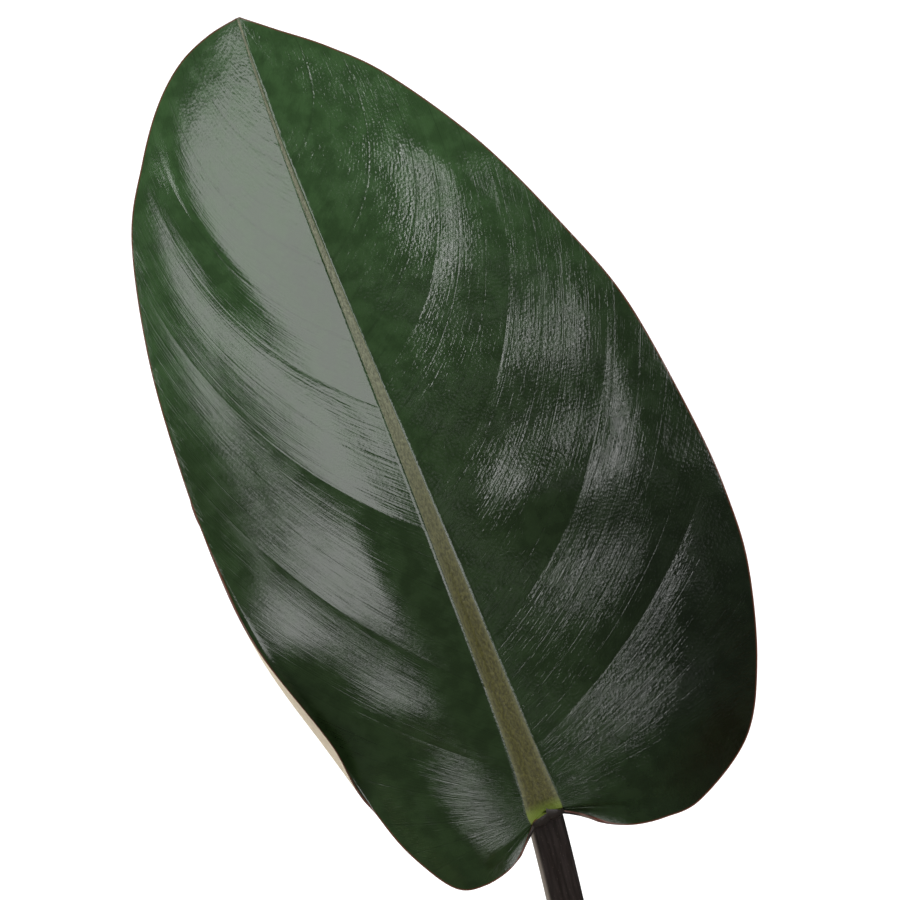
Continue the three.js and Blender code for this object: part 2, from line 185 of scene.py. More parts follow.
# %% [markdown]
# A blade is a thin sheet with a thick rib down its middle. From the notch at its stalk, round each lobe
# and up to the tip, its outline is a smooth curve through a few measured points. The side veins leave the
# rib nearly square to it and bend up along the margin. So the sheet is made of rows that follow the
# veins: what grows along a vein, such as a furrow or a fine groove, is then a line of the mesh too.
# The two halves differ, as on most such leaves, so each has an outline of its own.

# %% The blade's outline and rows
# Both outlines run from the notch to the tip, as (across, along) in millimetres from the blade's foot.
BLADE_LENGTH = 240
NARROW_SIDE = [
    (3.9, -1), (8.5, -6), (14, -10.8), (23, -12.9), (31, -10.8), (38.3, 0), (43.5, 13), (50.5, 40),
    (57.5, 70), (60.6, 100), (60.5, 128), (57.5, 160), (50.1, 192), (39.7, 211), (30, 224.3), (20, 233.3),
    (10, 238), (0.6, 240),
]
BROAD_SIDE = [
    (4.8, -1.2), (9.9, -4.3), (14.5, -8.6), (21.5, -12.2), (31, -13.5), (42.5, -12), (60.3, 0), (70.5, 19),
    (77.5, 44), (79.2, 64), (78.3, 86), (73, 125), (64, 152), (51, 182), (34, 209), (21, 223), (9, 233),
    (0.6, 240),
]
RIB = {"half_width": 4.6, "tip_half_width": 0.35, "depth": 6, "bow": 1.5}
# The whole sheet's slow curves: how far out the cup is measured, how long its waves are, and how high it
# arches. Low on its narrow half, the tall leaf folds more and cups less.
CURVE = {"reach": 60, "wave_length": 17, "arch": 12}
LOW = {"from": 0.6, "full": 0.1, "fold": 0.34, "cup": 36}
# The tall leaf's margins turn back within these widths of the narrow and the broad half. That is
# strongest at the foot and fades toward the tip, and it sets in between two lengths of side vein.
SHOULDER = {"widths": (16, 26), "foot": 1.15, "fades": (1.0, 1.1), "short_vein": 8, "full_vein": 33}


def smooth_line(points, count=1200):
    """A smooth curve through the points, and each of its points' share of the way along it."""
    points = np.array(points, float)
    place = np.linspace(0, len(points) - 1, count)
    i = np.minimum(place.astype(int), len(points) - 2)
    t = (place - i)[:, None]
    before, here, there = points[np.maximum(i - 1, 0)], points[i], points[i + 1]
    after = points[np.minimum(i + 2, len(points) - 1)]
    out, into = (there - before) / 2, (after - here) / 2
    line = here + out * t + (3 * (there - here) - 2 * out - into) * t ** 2
    line += (2 * (here - there) + out + into) * t ** 3
    run = np.append(0, np.cumsum(np.linalg.norm(np.diff(line, axis=0), axis=1)))
    return line, run / run[-1]


def vein_start(around):
    """How far up the rib the side vein starts that ends this far round the outline. The cube spreads the
    veins over the rib, and the high power keeps some for its tip."""
    return 0.85 * around ** 3 + 0.15 * around ** 12


def around_at(start):
    """How far round the outline the side vein ends that starts this far up the rib."""
    steps = np.linspace(0, 1, 2001)
    return float(np.interp(start, vein_start(steps), steps))


def rib_half_width(share):
    """In millimetres, at this share of the way up the rib."""
    return RIB["half_width"] * np.maximum(1 - share, 0) ** 1.6 + RIB["tip_half_width"]


def blade_rise(leaf, narrow, across, along):
    """How far the plain sheet stands out toward whoever looks at it."""
    share, out = along / BLADE_LENGTH, np.abs(across)
    fold, cup = leaf["fold"][not narrow], leaf["cup"][not narrow]
    arch = CURVE["arch"] * share - leaf["droop"] * share ** 2
    wave = leaf["wave"] * np.sin(along / CURVE["wave_length"] + leaf["turn"])
    low = np.clip((LOW["from"] - share) / (LOW["from"] - LOW["full"]), 0, 1)
    low = low ** 2 * (3 - 2 * low) * (leaf.get("folds_low", False) and narrow)
    fold, cup = fold + LOW["fold"] * low, cup - LOW["cup"] * low ** 6
    return fold * out + arch + (cup + wave) * (out / CURVE["reach"]) ** 2


def shoulder_drop(leaf, narrow, from_margin, share, length):
    """How far the tall leaf's margins turn back, in millimetres."""
    near = np.clip(1 - from_margin / SHOULDER["widths"][not narrow], 0, 1) ** 2
    long = np.clip((length - SHOULDER["short_vein"]) / (SHOULDER["full_vein"] - SHOULDER["short_vein"]), 0, 1)
    fade = SHOULDER["foot"] - SHOULDER["fades"][not narrow] * share
    strength = leaf.get("shoulder", (0, 0))[not narrow] * fade
    return strength * near * long ** 2 * (3 - 2 * long)


print("rows run round an outline of", len(NARROW_SIDE), "and", len(BROAD_SIDE), "points")

# %% [markdown]
# Between its main veins the blade swells like a quilt, and each main vein lies in a furrow. Some furrows
# widen to a shallow trough. All of this is real shape and not only a bump in the material, because it is
# what bends the light on a glossy leaf: each swelling shows as a bright patch.

# %% The blade's relief
# Each main vein: where it leaves the rib, as a share of the blade's length, then in millimetres how high
# the sheet swells past it, near the rib and further out, and how deep a trough runs along it.
NARROW_VEINS = [(0.0, 0.3, 0.3, 0), (0.045, 0.5, 0.5, 0), (0.15, 1.6, 0.5, 0), (0.35, 0.8, 0.7, 0),
                (0.51, 0.1, 0.3, 2.2)]
BROAD_VEINS = [(0.0, 0.5, 0.5, 0), (0.07, 0.4, 0.8, 0.3), (0.20, 0.1, 0.0, 0.3), (0.385, 0.5, 0.4, 0.0),
               (0.54, 0.1, 0.1, 0.1)]
# A swelling leans toward the next vein, more so on the narrow half, and dies out this near the margin.
SWELL_SKEW = (3, 1.5)
SWELL_EDGE = 26
# The troughs of the narrow and the broad half: how far they spread below and above the vein, and below
# it at the margin, in millimetres. Those of the narrow half run out over the margin without fading.
TROUGHS = ({"below": 24, "above": 9, "below_at_margin": 32, "fades": 0},
           {"below": 4, "above": 4, "below_at_margin": 4, "fades": 1})
# Rows crowd together where the veins meet at the notch. So only rows within this share of the way round
# the outline count as near a vein.
SAME_VEIN = {"within": 0.4, "fades_over": 0.1}
FURROW = {"depth": 0.06, "half_width": 0.4}


def quilting(around, reach, spacing, from_margin, veins, skew, troughs):
    """Swelling and furrows, in millimetres, and how close each point is to a main vein."""
    starts = [around_at(vein[0]) for vein in veins] + [1.0]
    swell, furrow, sunk = np.zeros_like(reach), np.zeros_like(reach), np.zeros_like(reach)
    inside = np.clip(from_margin / SWELL_EDGE, 0, 1)
    inside = inside ** 2 * (3 - 2 * inside)
    fade = np.clip(reach / 0.25, 0.35, 1) * inside
    outer = np.clip((reach - 0.2) / 0.4, 0, 1)
    for low, high, (start, near, far, trough) in zip(starts, starts[1:], veins):
        phase = np.clip((around - low) / (high - low), 0, 1)
        height = near + (far - near) * outer
        swell += height * phase * (1 - phase ** skew) * (1 + skew) ** (1 + 1 / skew) / skew * fade
        off = (around - low) * spacing
        nearby = np.clip((SAME_VEIN["within"] - np.abs(around - low)) / SAME_VEIN["fades_over"], 0, 1)
        on_vein = nearby * np.exp(-(off / FURROW["half_width"]) ** 2) * (start > 0)
        furrow = np.maximum(furrow, on_vein)
        below = troughs["below"] * inside + troughs["below_at_margin"] * (1 - inside)
        shape = np.exp(-(off / np.where(off < 0, below, troughs["above"])) ** 2) * (0.2 + 0.8 * outer)
        sunk = np.maximum(sunk, trough * shape * nearby * inside ** troughs["fades"])
    furrow *= np.clip((1 - reach) / 0.2, 0, 1)
    return swell - sunk - FURROW["depth"] * furrow, furrow


print("main veins:", len(NARROW_VEINS) - 1, "on the narrow half and", len(BROAD_VEINS) - 1, "on the broad half")

# %% [markdown]
# The tall leaf is seen close, so it gets what only it shows. Its broad half ripples a little, and there
# are single swellings between the veins. They were placed where the photograph has a patch of light or
# shade. Its narrow side also rolls up near the stalk, so that a sliver of the pale underside shows from
# the front. A rolled margin is the sheet wound round a thin rod that grows and shrinks along the edge.

# %% The tall leaf's own shapes
# The cosine and sine of the leaf's lean in the picture: swellings are placed by what is level there.
LEAN = (0.93, 0.36)
RIPPLE = {"length": 33, "shift": 116, "height": 0.35, "sways": ((0.9, 13), (0.5, 21)), "spread": 0.7}
# Each swelling, in millimetres: how far right of the foot and how high above it, its half width toward
# the left, its half height, and how far it stands out. To the right it is wider.
SWELLS = [(-24, 181, 9, 16, 2.0), (14, 138, 5, 10, 0.35), (-3, 91, 8, 8, 1.5), (31, 94, 10, 24, 1.1),
          (33, 31, 12, 14, 1.3)]
LOW_SWELLS = [(-46, 25, 9, 8, 2.6)]
SWELL_FADE = {"wider_right": 1.7, "by_rib": 0.2, "by_margin": 12}
# The roll starts at its foot, is tightest at its peak and ends high up the margin.
ROLL = {"foot": 2, "peak": 40, "end": 118, "radius": 2.5, "angle": 165, "moves_from": 0.1, "moves_over": 0.5}


def roll_share(along):
    """How strongly the narrow margin rolls up at this height above the stalk."""
    rising = np.clip((along - ROLL["foot"]) / (ROLL["peak"] - ROLL["foot"]), 0, 1)
    falling = np.clip((ROLL["end"] - along) / (ROLL["end"] - ROLL["peak"]), 0, 1)
    return np.sin(np.pi / 2 * rising) ** 2 * np.sin(np.pi / 2 * falling) ** 1.2


def rolled_up(end, inward, from_margin, flat):
    """The sheet with its margin drawn in round the roll, and how high the roll lifts each point."""
    share = roll_share(end[:, :, 1])
    radius = np.maximum(ROLL["radius"] * share, 0.05)
    angle = ROLL["angle"] * DEGREE * share * np.clip(1 - from_margin / radius, 0, 1)
    moved = np.where(from_margin < radius, radius * (1 - np.sin(angle)) - from_margin, 0)
    moved = moved * np.clip((share - ROLL["moves_from"]) / ROLL["moves_over"], 0, 1)
    rolled = np.where(from_margin < radius, radius * (1 - np.cos(angle)), 0)
    return flat + moved[..., None] * inward, rolled


def with_own_swells(relief, narrow, flat, reach, from_margin):
    """The relief with the ripples and single swellings of the tall leaf added."""
    out = LEAN[0] * flat[..., 0] - LEAN[1] * flat[..., 1]
    level = LEAN[1] * flat[..., 0] + LEAN[0] * flat[..., 1]
    if not narrow:
        (sway_x, long_x), (sway_y, long_y) = RIPPLE["sways"]
        drift = sway_x * np.sin(flat[..., 0] / long_x) + sway_y * np.sin(level / long_y)
        wave = np.sin(2 * np.pi * (level - RIPPLE["shift"]) / RIPPLE["length"] + drift)
        relief = relief + RIPPLE["height"] * wave * np.sin(np.pi * np.clip(reach, 0, 1)) ** RIPPLE["spread"]
    fade = np.clip(reach / SWELL_FADE["by_rib"], 0, 1)
    fade_out = np.clip(from_margin / SWELL_FADE["by_margin"], 0, 1)
    for x, y, width, tall, height in LOW_SWELLS if narrow else SWELLS:
        side_width = np.where(out > x, SWELL_FADE["wider_right"] * width, width)
        round_it = ((out - x) / side_width) ** 2 + ((level - y) / tall) ** 2
        relief = relief + height * np.exp(-round_it / 2) * fade * fade_out
    return relief


print("single swellings:", len(SWELLS), "and", len(LOW_SWELLS), "; the roll ends at", ROLL["end"], "mm")

# %% [markdown]
# Now a half is put together. Each row is a curve from the rib to the margin, bent by one guide point, and
# its points lie closer over the rib and by the margin, where the sheet turns fastest. On top the rib
# shows as a flat raised band, and underneath as a round cord. Each point also keeps what the leaf's
# material has to know: how near it is to the rib, to the margin and to a vein.

# %% One half of a blade
# The guide point of a row, as shares of the way out and of the way up, and how much more the way out
# counts for each share of the blade's length.
NARROW_BEND = (0.5, 0.4)
BROAD_BEND = (0.54, 0.31)
BEND_GAIN = 1.1
BAND = {"height": 0.9, "shoulder": 0.8}
MARGIN_WIDTH = 3.2
MARGIN_DROP = 0.12


def row_places(length, half_width, spans):
    """Where a row's points lie, as shares of it: across the rib, over the sheet, then near the margin."""
    rib, sheet, margin = spans
    edge = np.minimum(half_width / length, 0.5)
    rim = np.minimum(MARGIN_WIDTH / length, 0.3)
    k = np.arange(rib + sheet + margin + 1)[None, :]
    edge, rim = edge[:, None], rim[:, None]
    over = edge + (1 - edge - rim) * (np.clip(k - rib, 0, sheet) / sheet) ** 1.2
    near = 1 - rim + rim * (k - rib - sheet) / margin
    return np.where(k <= rib, edge * k / rib, np.where(k <= rib + sheet, over, near))


def row_curves(side, narrow, bow_side, arounds, spans):
    """The rows of one half, still flat: where each starts and ends, its length, its points."""
    line, run = smooth_line(NARROW_SIDE if narrow else BROAD_SIDE)
    start_share = vein_start(arounds)
    bow = RIB["bow"] * np.sin(np.pi * start_share ** 3) * bow_side
    start = np.stack([bow, start_share * BLADE_LENGTH], -1)[:, None, :]
    end = np.stack([side * np.interp(arounds, run, line[:, 0]), np.interp(arounds, run, line[:, 1])], -1)
    end = end[:, None, :]
    swing, lift = NARROW_BEND if narrow else BROAD_BEND
    swing = swing + BEND_GAIN * np.clip(start_share, 0.05, 0.6)
    bend = start + np.stack([swing, np.full_like(swing, lift)], -1)[:, None, :] * (end - start)
    length = np.linalg.norm(end - start, axis=-1)[:, 0]
    reach = row_places(length, rib_half_width(start_share), spans)
    t = reach[..., None]
    flat = (1 - t) ** 2 * start + 2 * t * (1 - t) * bend + t ** 2 * end
    return start_share, start, end, length, reach, flat


def to_margin(arounds, start, end, flat):
    """Which way is inward from the margin, and how far each point is from it."""
    way = np.gradient(end[:, 0], arounds, axis=0)
    inward = np.stack([-way[:, 1], way[:, 0]], -1) / np.linalg.norm(way, axis=-1)[:, None]
    inward = (inward * np.sign(np.sum(inward * (start - end)[:, 0], -1))[:, None])[:, None, :]
    return inward, np.maximum(np.sum((flat - end) * inward, -1), 0)


def row_spacing(arounds, flat):
    """How many millimetres lie between rows, for one whole way round the outline."""
    row_way = np.gradient(flat, axis=1)
    row_way = row_way / np.maximum(np.linalg.norm(row_way, axis=-1), 1e-6)[..., None]
    step = np.gradient(flat, arounds, axis=0)
    return np.abs(step[..., 0] * row_way[..., 1] - step[..., 1] * row_way[..., 0])


def half_blade(leaf, side, arounds, spans):
    """One half of a blade: its points, and what the material needs to know at each of them."""
    narrow = (side < 0) != leaf["mirrored"]
    start_share, start, end, length, reach, flat = row_curves(
        side, narrow, 1 if leaf["mirrored"] else -1, arounds, spans)
    inward, from_margin = to_margin(arounds, start, end, flat)
    rolled = np.zeros_like(reach)
    if leaf.get("rolled") and narrow:
        flat, rolled = rolled_up(end, inward, from_margin, flat)
    relief, furrow = quilting(
        arounds[:, None], reach, row_spacing(arounds, flat), from_margin,
        NARROW_VEINS if narrow else BROAD_VEINS, SWELL_SKEW[not narrow], TROUGHS[not narrow])
    if leaf.get("rolled"):
        relief = with_own_swells(relief, narrow, flat, reach, from_margin)
    off_rib = np.linalg.norm(flat - start, axis=-1) / rib_half_width(start_share)[:, None]
    on_rib = np.clip((1 - off_rib) / BAND["shoulder"] * 2, 0, 1)
    foot_taper = np.clip(0.3 + start_share[:, None] * BLADE_LENGTH / 5, 0, 1)
    band = BAND["height"] * (1 - start_share[:, None]) ** 0.8 * np.sqrt(on_rib) * foot_taper
    drop = MARGIN_DROP * np.clip(1 - from_margin / MARGIN_WIDTH, 0, 1) ** 2 * (rolled == 0)
    drop = drop + shoulder_drop(leaf, narrow, from_margin, start_share[:, None], length[:, None])
    plain = blade_rise(leaf, narrow, flat[..., 0], flat[..., 1])
    rise = plain + leaf["quilt"] * relief + band - drop + rolled
    cord = RIB["depth"] * (1 - start_share[:, None]) ** 1.2 * np.sqrt(np.clip(1 - off_rib ** 2, 0, 1))
    cord *= foot_taper
    return {
        "points": np.concatenate([flat, rise[..., None]], -1), "reach": side * reach,
        "around": np.broadcast_to(arounds[:, None], reach.shape), "cord": cord + band,
        "rib": np.clip((1.15 - off_rib) / 0.55, 0, 1),
        "margin": from_margin, "vein": furrow,
    }


print("the rib's band stands", BAND["height"], "mm above the sheet at its foot")

# %% [markdown]
# The sheet starts as a grid primitive, whose points are then laid along the rows. A plane that is bent
# by modifiers would not follow the veins. Values that a material needs at each point are kept on the
# mesh, in pairs as a UV map or singly as an attribute.

# %% Laying a grid, and keeping maps on it


def wrapped_grid(name, columns, rows, place):
    """Adds a grid and lays each point where place(column, row) says."""
    select_only()
    bpy.ops.mesh.primitive_grid_add(x_subdivisions=columns, y_subdivisions=rows, size=2)
    piece = bpy.context.object
    piece.name = piece.data.name = name
    flat = points_of(piece)
    column = np.rint((flat[:, 0] + 1) / 2 * columns).astype(int)
    row = np.rint((flat[:, 1] + 1) / 2 * rows).astype(int)
    set_points(piece, place(column, row))
    return piece, column, row


def keep_map(piece, name, first, second):
    """Keeps two values of each point as a UV map."""
    layer = piece.data.uv_layers.get(name) or piece.data.uv_layers.new(name=name)
    corners = np.empty(len(piece.data.loops), np.int32)
    piece.data.loops.foreach_get("vertex_index", corners)
    layer.data.foreach_set("uv", np.stack([first, second], -1)[corners].astype(np.float32).ravel())


def keep_value(piece, name, values):
    attribute = piece.data.attributes.new(name, "FLOAT", "POINT")
    attribute.data.foreach_set("value", values.astype(np.float32))


print("a grid of 2 by 3 steps has", 3 * 4, "points")

# %% [markdown]
# A blade is laid out flat, both halves in one grid, and then turned to its place in the plant. The
# Solidify modifier gives it its thickness, and a vertex group makes it thick where the rib is a cord
# underneath. Its rim becomes the thin margin. The grid's own rows and columns are kept as a map, so that
# the material can follow the veins. A second map holds the flat leaf in metres, for patterns that have
# a real size.

# %% A whole blade
# The sheet's thickness in millimetres.
LAMINA = 0.5
# As shares of the way round the outline: how far the rows lie apart in the close group at a vein, and
# how close two rows may lie.
VEIN_ROW_STEP = 0.0016
CLOSEST_ROWS = 0.0007


def pose_of(leaf):
    """The turn that lays a blade's own length, width and face in the plant."""
    turn = Matrix.Rotation((leaf["turn"] - 90) * DEGREE, 3, "Z")
    turn = turn @ Matrix.Rotation(leaf["pitch"] * DEGREE, 3, "X")
    return turn @ Matrix.Rotation(leaf["roll"] * DEGREE, 3, "Y")


def row_arounds(count):
    """Rows lie closer where the outline turns fastest, and each main vein has a close group of rows."""
    even = np.linspace(0, 1, count + 1)
    arounds = list((even + (1 - np.cos(np.pi * even)) / 2) / 2)
    for vein in NARROW_VEINS[1:] + BROAD_VEINS[1:]:
        middle = around_at(vein[0])
        arounds += [middle + step * VEIN_ROW_STEP for step in (-1, 0, 1)]
    arounds = np.array(sorted(arounds))
    return arounds[np.append(True, np.diff(arounds) > CLOSEST_ROWS)]


def blade(leaf, row_count, spans):
    """Both halves in one mesh, turned to their place in the plant, with maps and thickness."""
    arounds = row_arounds(row_count)
    halves = [half_blade(leaf, side, arounds, spans) for side in (-1, 1)]
    whole = {key: np.concatenate([halves[0][key][:, :0:-1], halves[1][key]], 1) for key in halves[0]}
    middle = sum(spans)
    size = leaf["length"] / BLADE_LENGTH
    turn, foot = np.array(pose_of(leaf)), np.array(leaf["base"])
    local = whole["points"] * [size * leaf["width"], size, size]
    world = (local @ turn.T + foot) * MM
    piece, column, row = wrapped_grid(
        leaf["name"] + "_leaf", 2 * middle, len(arounds) - 1, lambda column, row: world[row, column])
    at = (row, column)
    flat = whole["points"][at]
    piece.data.uv_layers[0].name = "along_veins"
    keep_map(piece, "along_veins", whole["reach"][at], whole["around"][at])
    keep_map(piece, "on_blade", flat[:, 0] * size * MM, flat[:, 1] * size * MM)
    for name in ("rib", "margin", "vein"):
        keep_value(piece, name, whole[name][at])
    deepest = LAMINA + RIB["depth"] + BAND["height"]
    group = piece.vertex_groups.new(name="thickness")
    for index, cord in enumerate(whole["cord"][at]):
        group.add([index], (LAMINA + cord) / deepest, "REPLACE")
    solid = piece.modifiers.new("thickness", "SOLIDIFY")
    solid.thickness = deepest * size * MM
    solid.offset = -1
    solid.vertex_group = "thickness"
    solid.material_offset = 1
    solid.material_offset_rim = 2
    return piece


def finish_rib_end(piece):
    """The rib's end face, at the first row, belongs to the upper face and not to the margin."""
    around = piece.data.uv_layers["along_veins"].data
    for face in piece.data.polygons:
        if all(around[corner].uv[1] < 0.00001 for corner in face.loop_indices):
            face.material_index = 0


print("the fine sheet is", LAMINA, "mm thick")

# %% [markdown]
# The leaves leave the stem one after another, each turned by the golden angle. The list gives each one's
# foot, turn, pitch, roll and size, just as the construction has them, from the oldest and lowest to the
# newest. Only the tall leaf rolls up at its margin, and older leaves are quilted more than young ones.

# %% The leaves
# Lengths in millimetres, angles in degrees. Fold and cup are for the narrow and the broad half.
LEAF_FIELDS = ("name", "base", "turn", "pitch", "roll", "length", "width", "fold", "cup", "droop", "wave",
               "mirrored", "quilt")
LEAVES = [dict(zip(LEAF_FIELDS, leaf)) for leaf in [
    ("leaf_1", (-44, -98, 256), 250, -30, 12, 212, 1, (0.3, 0.3), (-11.7, -11.7), 34, 2.2, True, 1.1),
    ("leaf_2", (80, 36, 290), 24, -20, 18, 212, 1.02, (0.28, 0.28), (-11, -11), 30, 2, False, 1.1),
    ("leaf_3", (-92, 27, 306), 165, -16, -24, 225, 0.98, (0.32, 0.32), (-12.5, -12.5), 36, 1.8, True, 1.1),
    ("leaf_4", (46, -82, 326), 301, -26, -8, 228, 1, (0.34, 0.34), (-13.3, -13.3), 34, 2.4, False, 1),
    ("leaf_5", (14, 74, 318), 79, -37, 8, 222, 1, (0.3, 0.3), (-11.7, -11.7), 26, 1.6, True, 1),
    ("leaf_6", (-76, -54, 362), 212, -4, -26, 232, 1, (0.34, 0.34), (-13.3, -13.3), 38, 2, False, 1),
    ("leaf_7", (86, -12, 386), 350, 10, 24, 232, 0.98, (0.34, 0.34), (-13.3, -13.3), 34, 1.6, True, 1),
    ("tall_leaf", (-50, 45, 400), 127.8, 53.9, -32, 240, 1, (0.26, 0.15), (-4, 6), 13, 0, False, 1),
    ("newest_leaf", (2, -54, 372), 272, 38, 14, 176, 0.92, (0.5, 0.5), (-19.6, -19.6), 22, 1, True, 0.6),
]]
for leaf in LEAVES:
    if leaf["name"] == "tall_leaf":
        leaf.update({"folds_low": True, "shoulder": (2.0, 2.8), "rolled": True})
# How many rows a blade has, and how many steps across its rib, its sheet and its margin.
FINE = (300, (6, 44, 8))
PLAIN = (180, (4, 28, 4))
print("leaves:", len(LEAVES), "from", min(leaf["length"] for leaf in LEAVES), "mm long")

# %% [markdown]
# A leaf of this plant has a waxy skin over dark green tissue. Wax has an IOR near 1.45 and is smooth, so
# the leaf shows clear soft reflections. Fine grooves run along the veins about 0.6 mm apart, and pebbles
# under 1 mm wide roughen the skin between them, more on the broad half than on the narrow one. Both
# break the reflections into strokes. The green is mottled in patches of a few millimetres and turns
# lighter toward the tip. The rib is olive, and dull with fine down. All this is finer than a mesh could
# hold, so the material draws it, on the map that follows the veins and on the flat leaf in metres. The
# cells of a real skin are finer than these pebbles, which are drawn coarse so that they show.

# %% What a blade's materials read
ALONG_VEINS = ("ShaderNodeUVMap", {"uv_map": "along_veins"}, (), 0)
ON_BLADE = ("ShaderNodeUVMap", {"uv_map": "on_blade"}, (), 0)
RIB_SHARE = ("ShaderNodeAttribute", {"attribute_name": "rib"}, (), "Fac")
MARGIN_MM = ("ShaderNodeAttribute", {"attribute_name": "margin"}, (), "Fac")
VEIN_SHARE = ("ShaderNodeAttribute", {"attribute_name": "vein"}, (), "Fac")
ABSOLUTE = ("ShaderNodeMath", {"operation": "ABSOLUTE"}, (0,), 0)
BRIGHTER = ("ShaderNodeHueSaturation", {}, ("Value", "Color"), 0)
ROUND_CELLS = ("ShaderNodeTexVoronoi", {"voronoi_dimensions": "2D", "feature": "SMOOTH_F1"}, (), 0)
LINES = ("ShaderNodeTexVoronoi", {"voronoi_dimensions": "1D", "feature": "DISTANCE_TO_EDGE"}, (), 0)
# Millimetres: between grooves, between the broad strokes that they gather in, between the hairlines by
# the rib, and once round the outline of a half. The map along the veins runs from 0 to 1 over the last.
GROOVE_SPACING = 0.6
STROKE_SPACING = 4.5
HAIR_SPACING = 1.1
ROUND_LENGTH = 330
# How many fine side veins a half has, and in metres how wide its patches and pebbles are.
SIDE_VEINS = 25
PATCH = 0.006
PEBBLE = 0.0009
# Tufts of down for each metre across and along the rib: 0.7 by 1.2 mm, far coarser than real down, so
# that they show.
DOWN_TUFTS = (1500, 800, 1)
# In metres too: how high the grooves, hairlines, side veins, strokes, pebbles and down stand.
RELIEF = {"groove": 0.00005, "hair": 0.00007, "side_vein": -0.000025, "stroke": 0.00009, "pebble": 0.00005,
          "down": 0.0003}
WAX_IOR = 1.46
print("a half has", round(ROUND_LENGTH / GROOVE_SPACING), "grooves")

# %% [markdown]
# The colour of the upper face is laid in coats, as a painter would: the green by place, the mottling, the
# dark of the grooves and fine veins, then the olive rib with its down, and last the thin red-brown line
# at the margin. Toward the tip the rib is painted greyer, a painted sheen, and at its foot it is yellow-green.

# %% The upper face's colours


def mottled_green(tree, place, patches, drift, dark, light, deep):
    """Dark green by the stalk and lighter toward the tip, deepest low on the broad half."""
    uneven = node(tree, PLUS, place[1], node(tree, TIMES, drift, 0.08))
    green = node(tree, BLEND, node(tree, STRETCH, uneven, 0.10, 0.27), dark, light)
    broad, low = node(tree, STRETCH, place[0], 0.0, 0.06), node(tree, STRETCH, place[1], 0.2, 0.02)
    green = node(tree, BLEND, node(tree, TIMES, broad, low), green, deep)
    return node(tree, BRIGHTER, node(tree, STRETCH, patches, 0.35, 0.65, 0.86, 1.16), green)


def downy_olive(tree, place, down, rib, rib_low, rib_high):
    """The rib's skin: olive with speckled down, paler at its sides and yellow-green at its foot. Toward the tip
    it is painted grey, a painted sheen.
    """
    speckle = node(tree, STRETCH, down, 0.3, 0.7)
    olive = node(tree, BLEND, speckle, rib_low, rib_high)
    # Painted sheen: the rib is painted greyer toward the tip, where it catches the light.
    painted_sheen_grey = node(tree, BLEND, speckle, "#5f6350", "#868a73")
    painted_sheen_toward_tip = node(tree, TIMES, node(tree, STRETCH, place[1], 0.05, 0.16), 0.85)
    olive = node(tree, BLEND, painted_sheen_toward_tip, olive, painted_sheen_grey)
    olive = node(tree, BLEND, node(tree, STRETCH, rib, 0.75, 0.35, 0, 0.2), olive, "#8a8f72")
    return node(tree, BLEND, node(tree, STRETCH, place[1], 0.004, 0.0), olive, "#6a7a2a")


print("the upper face has 5 coats of colour")

# %% [markdown]
# The gloss needs care. Six reliefs are stacked, each one bump on top of the last, so that grooves, fine
# veins, strokes, pebbles and down all bend the same reflection. The down is 0.3 mm high and the rest
# under 0.1 mm, too fine to model. The rib is duller than the sheet, and the wax is a little uneven.

# %% The upper face


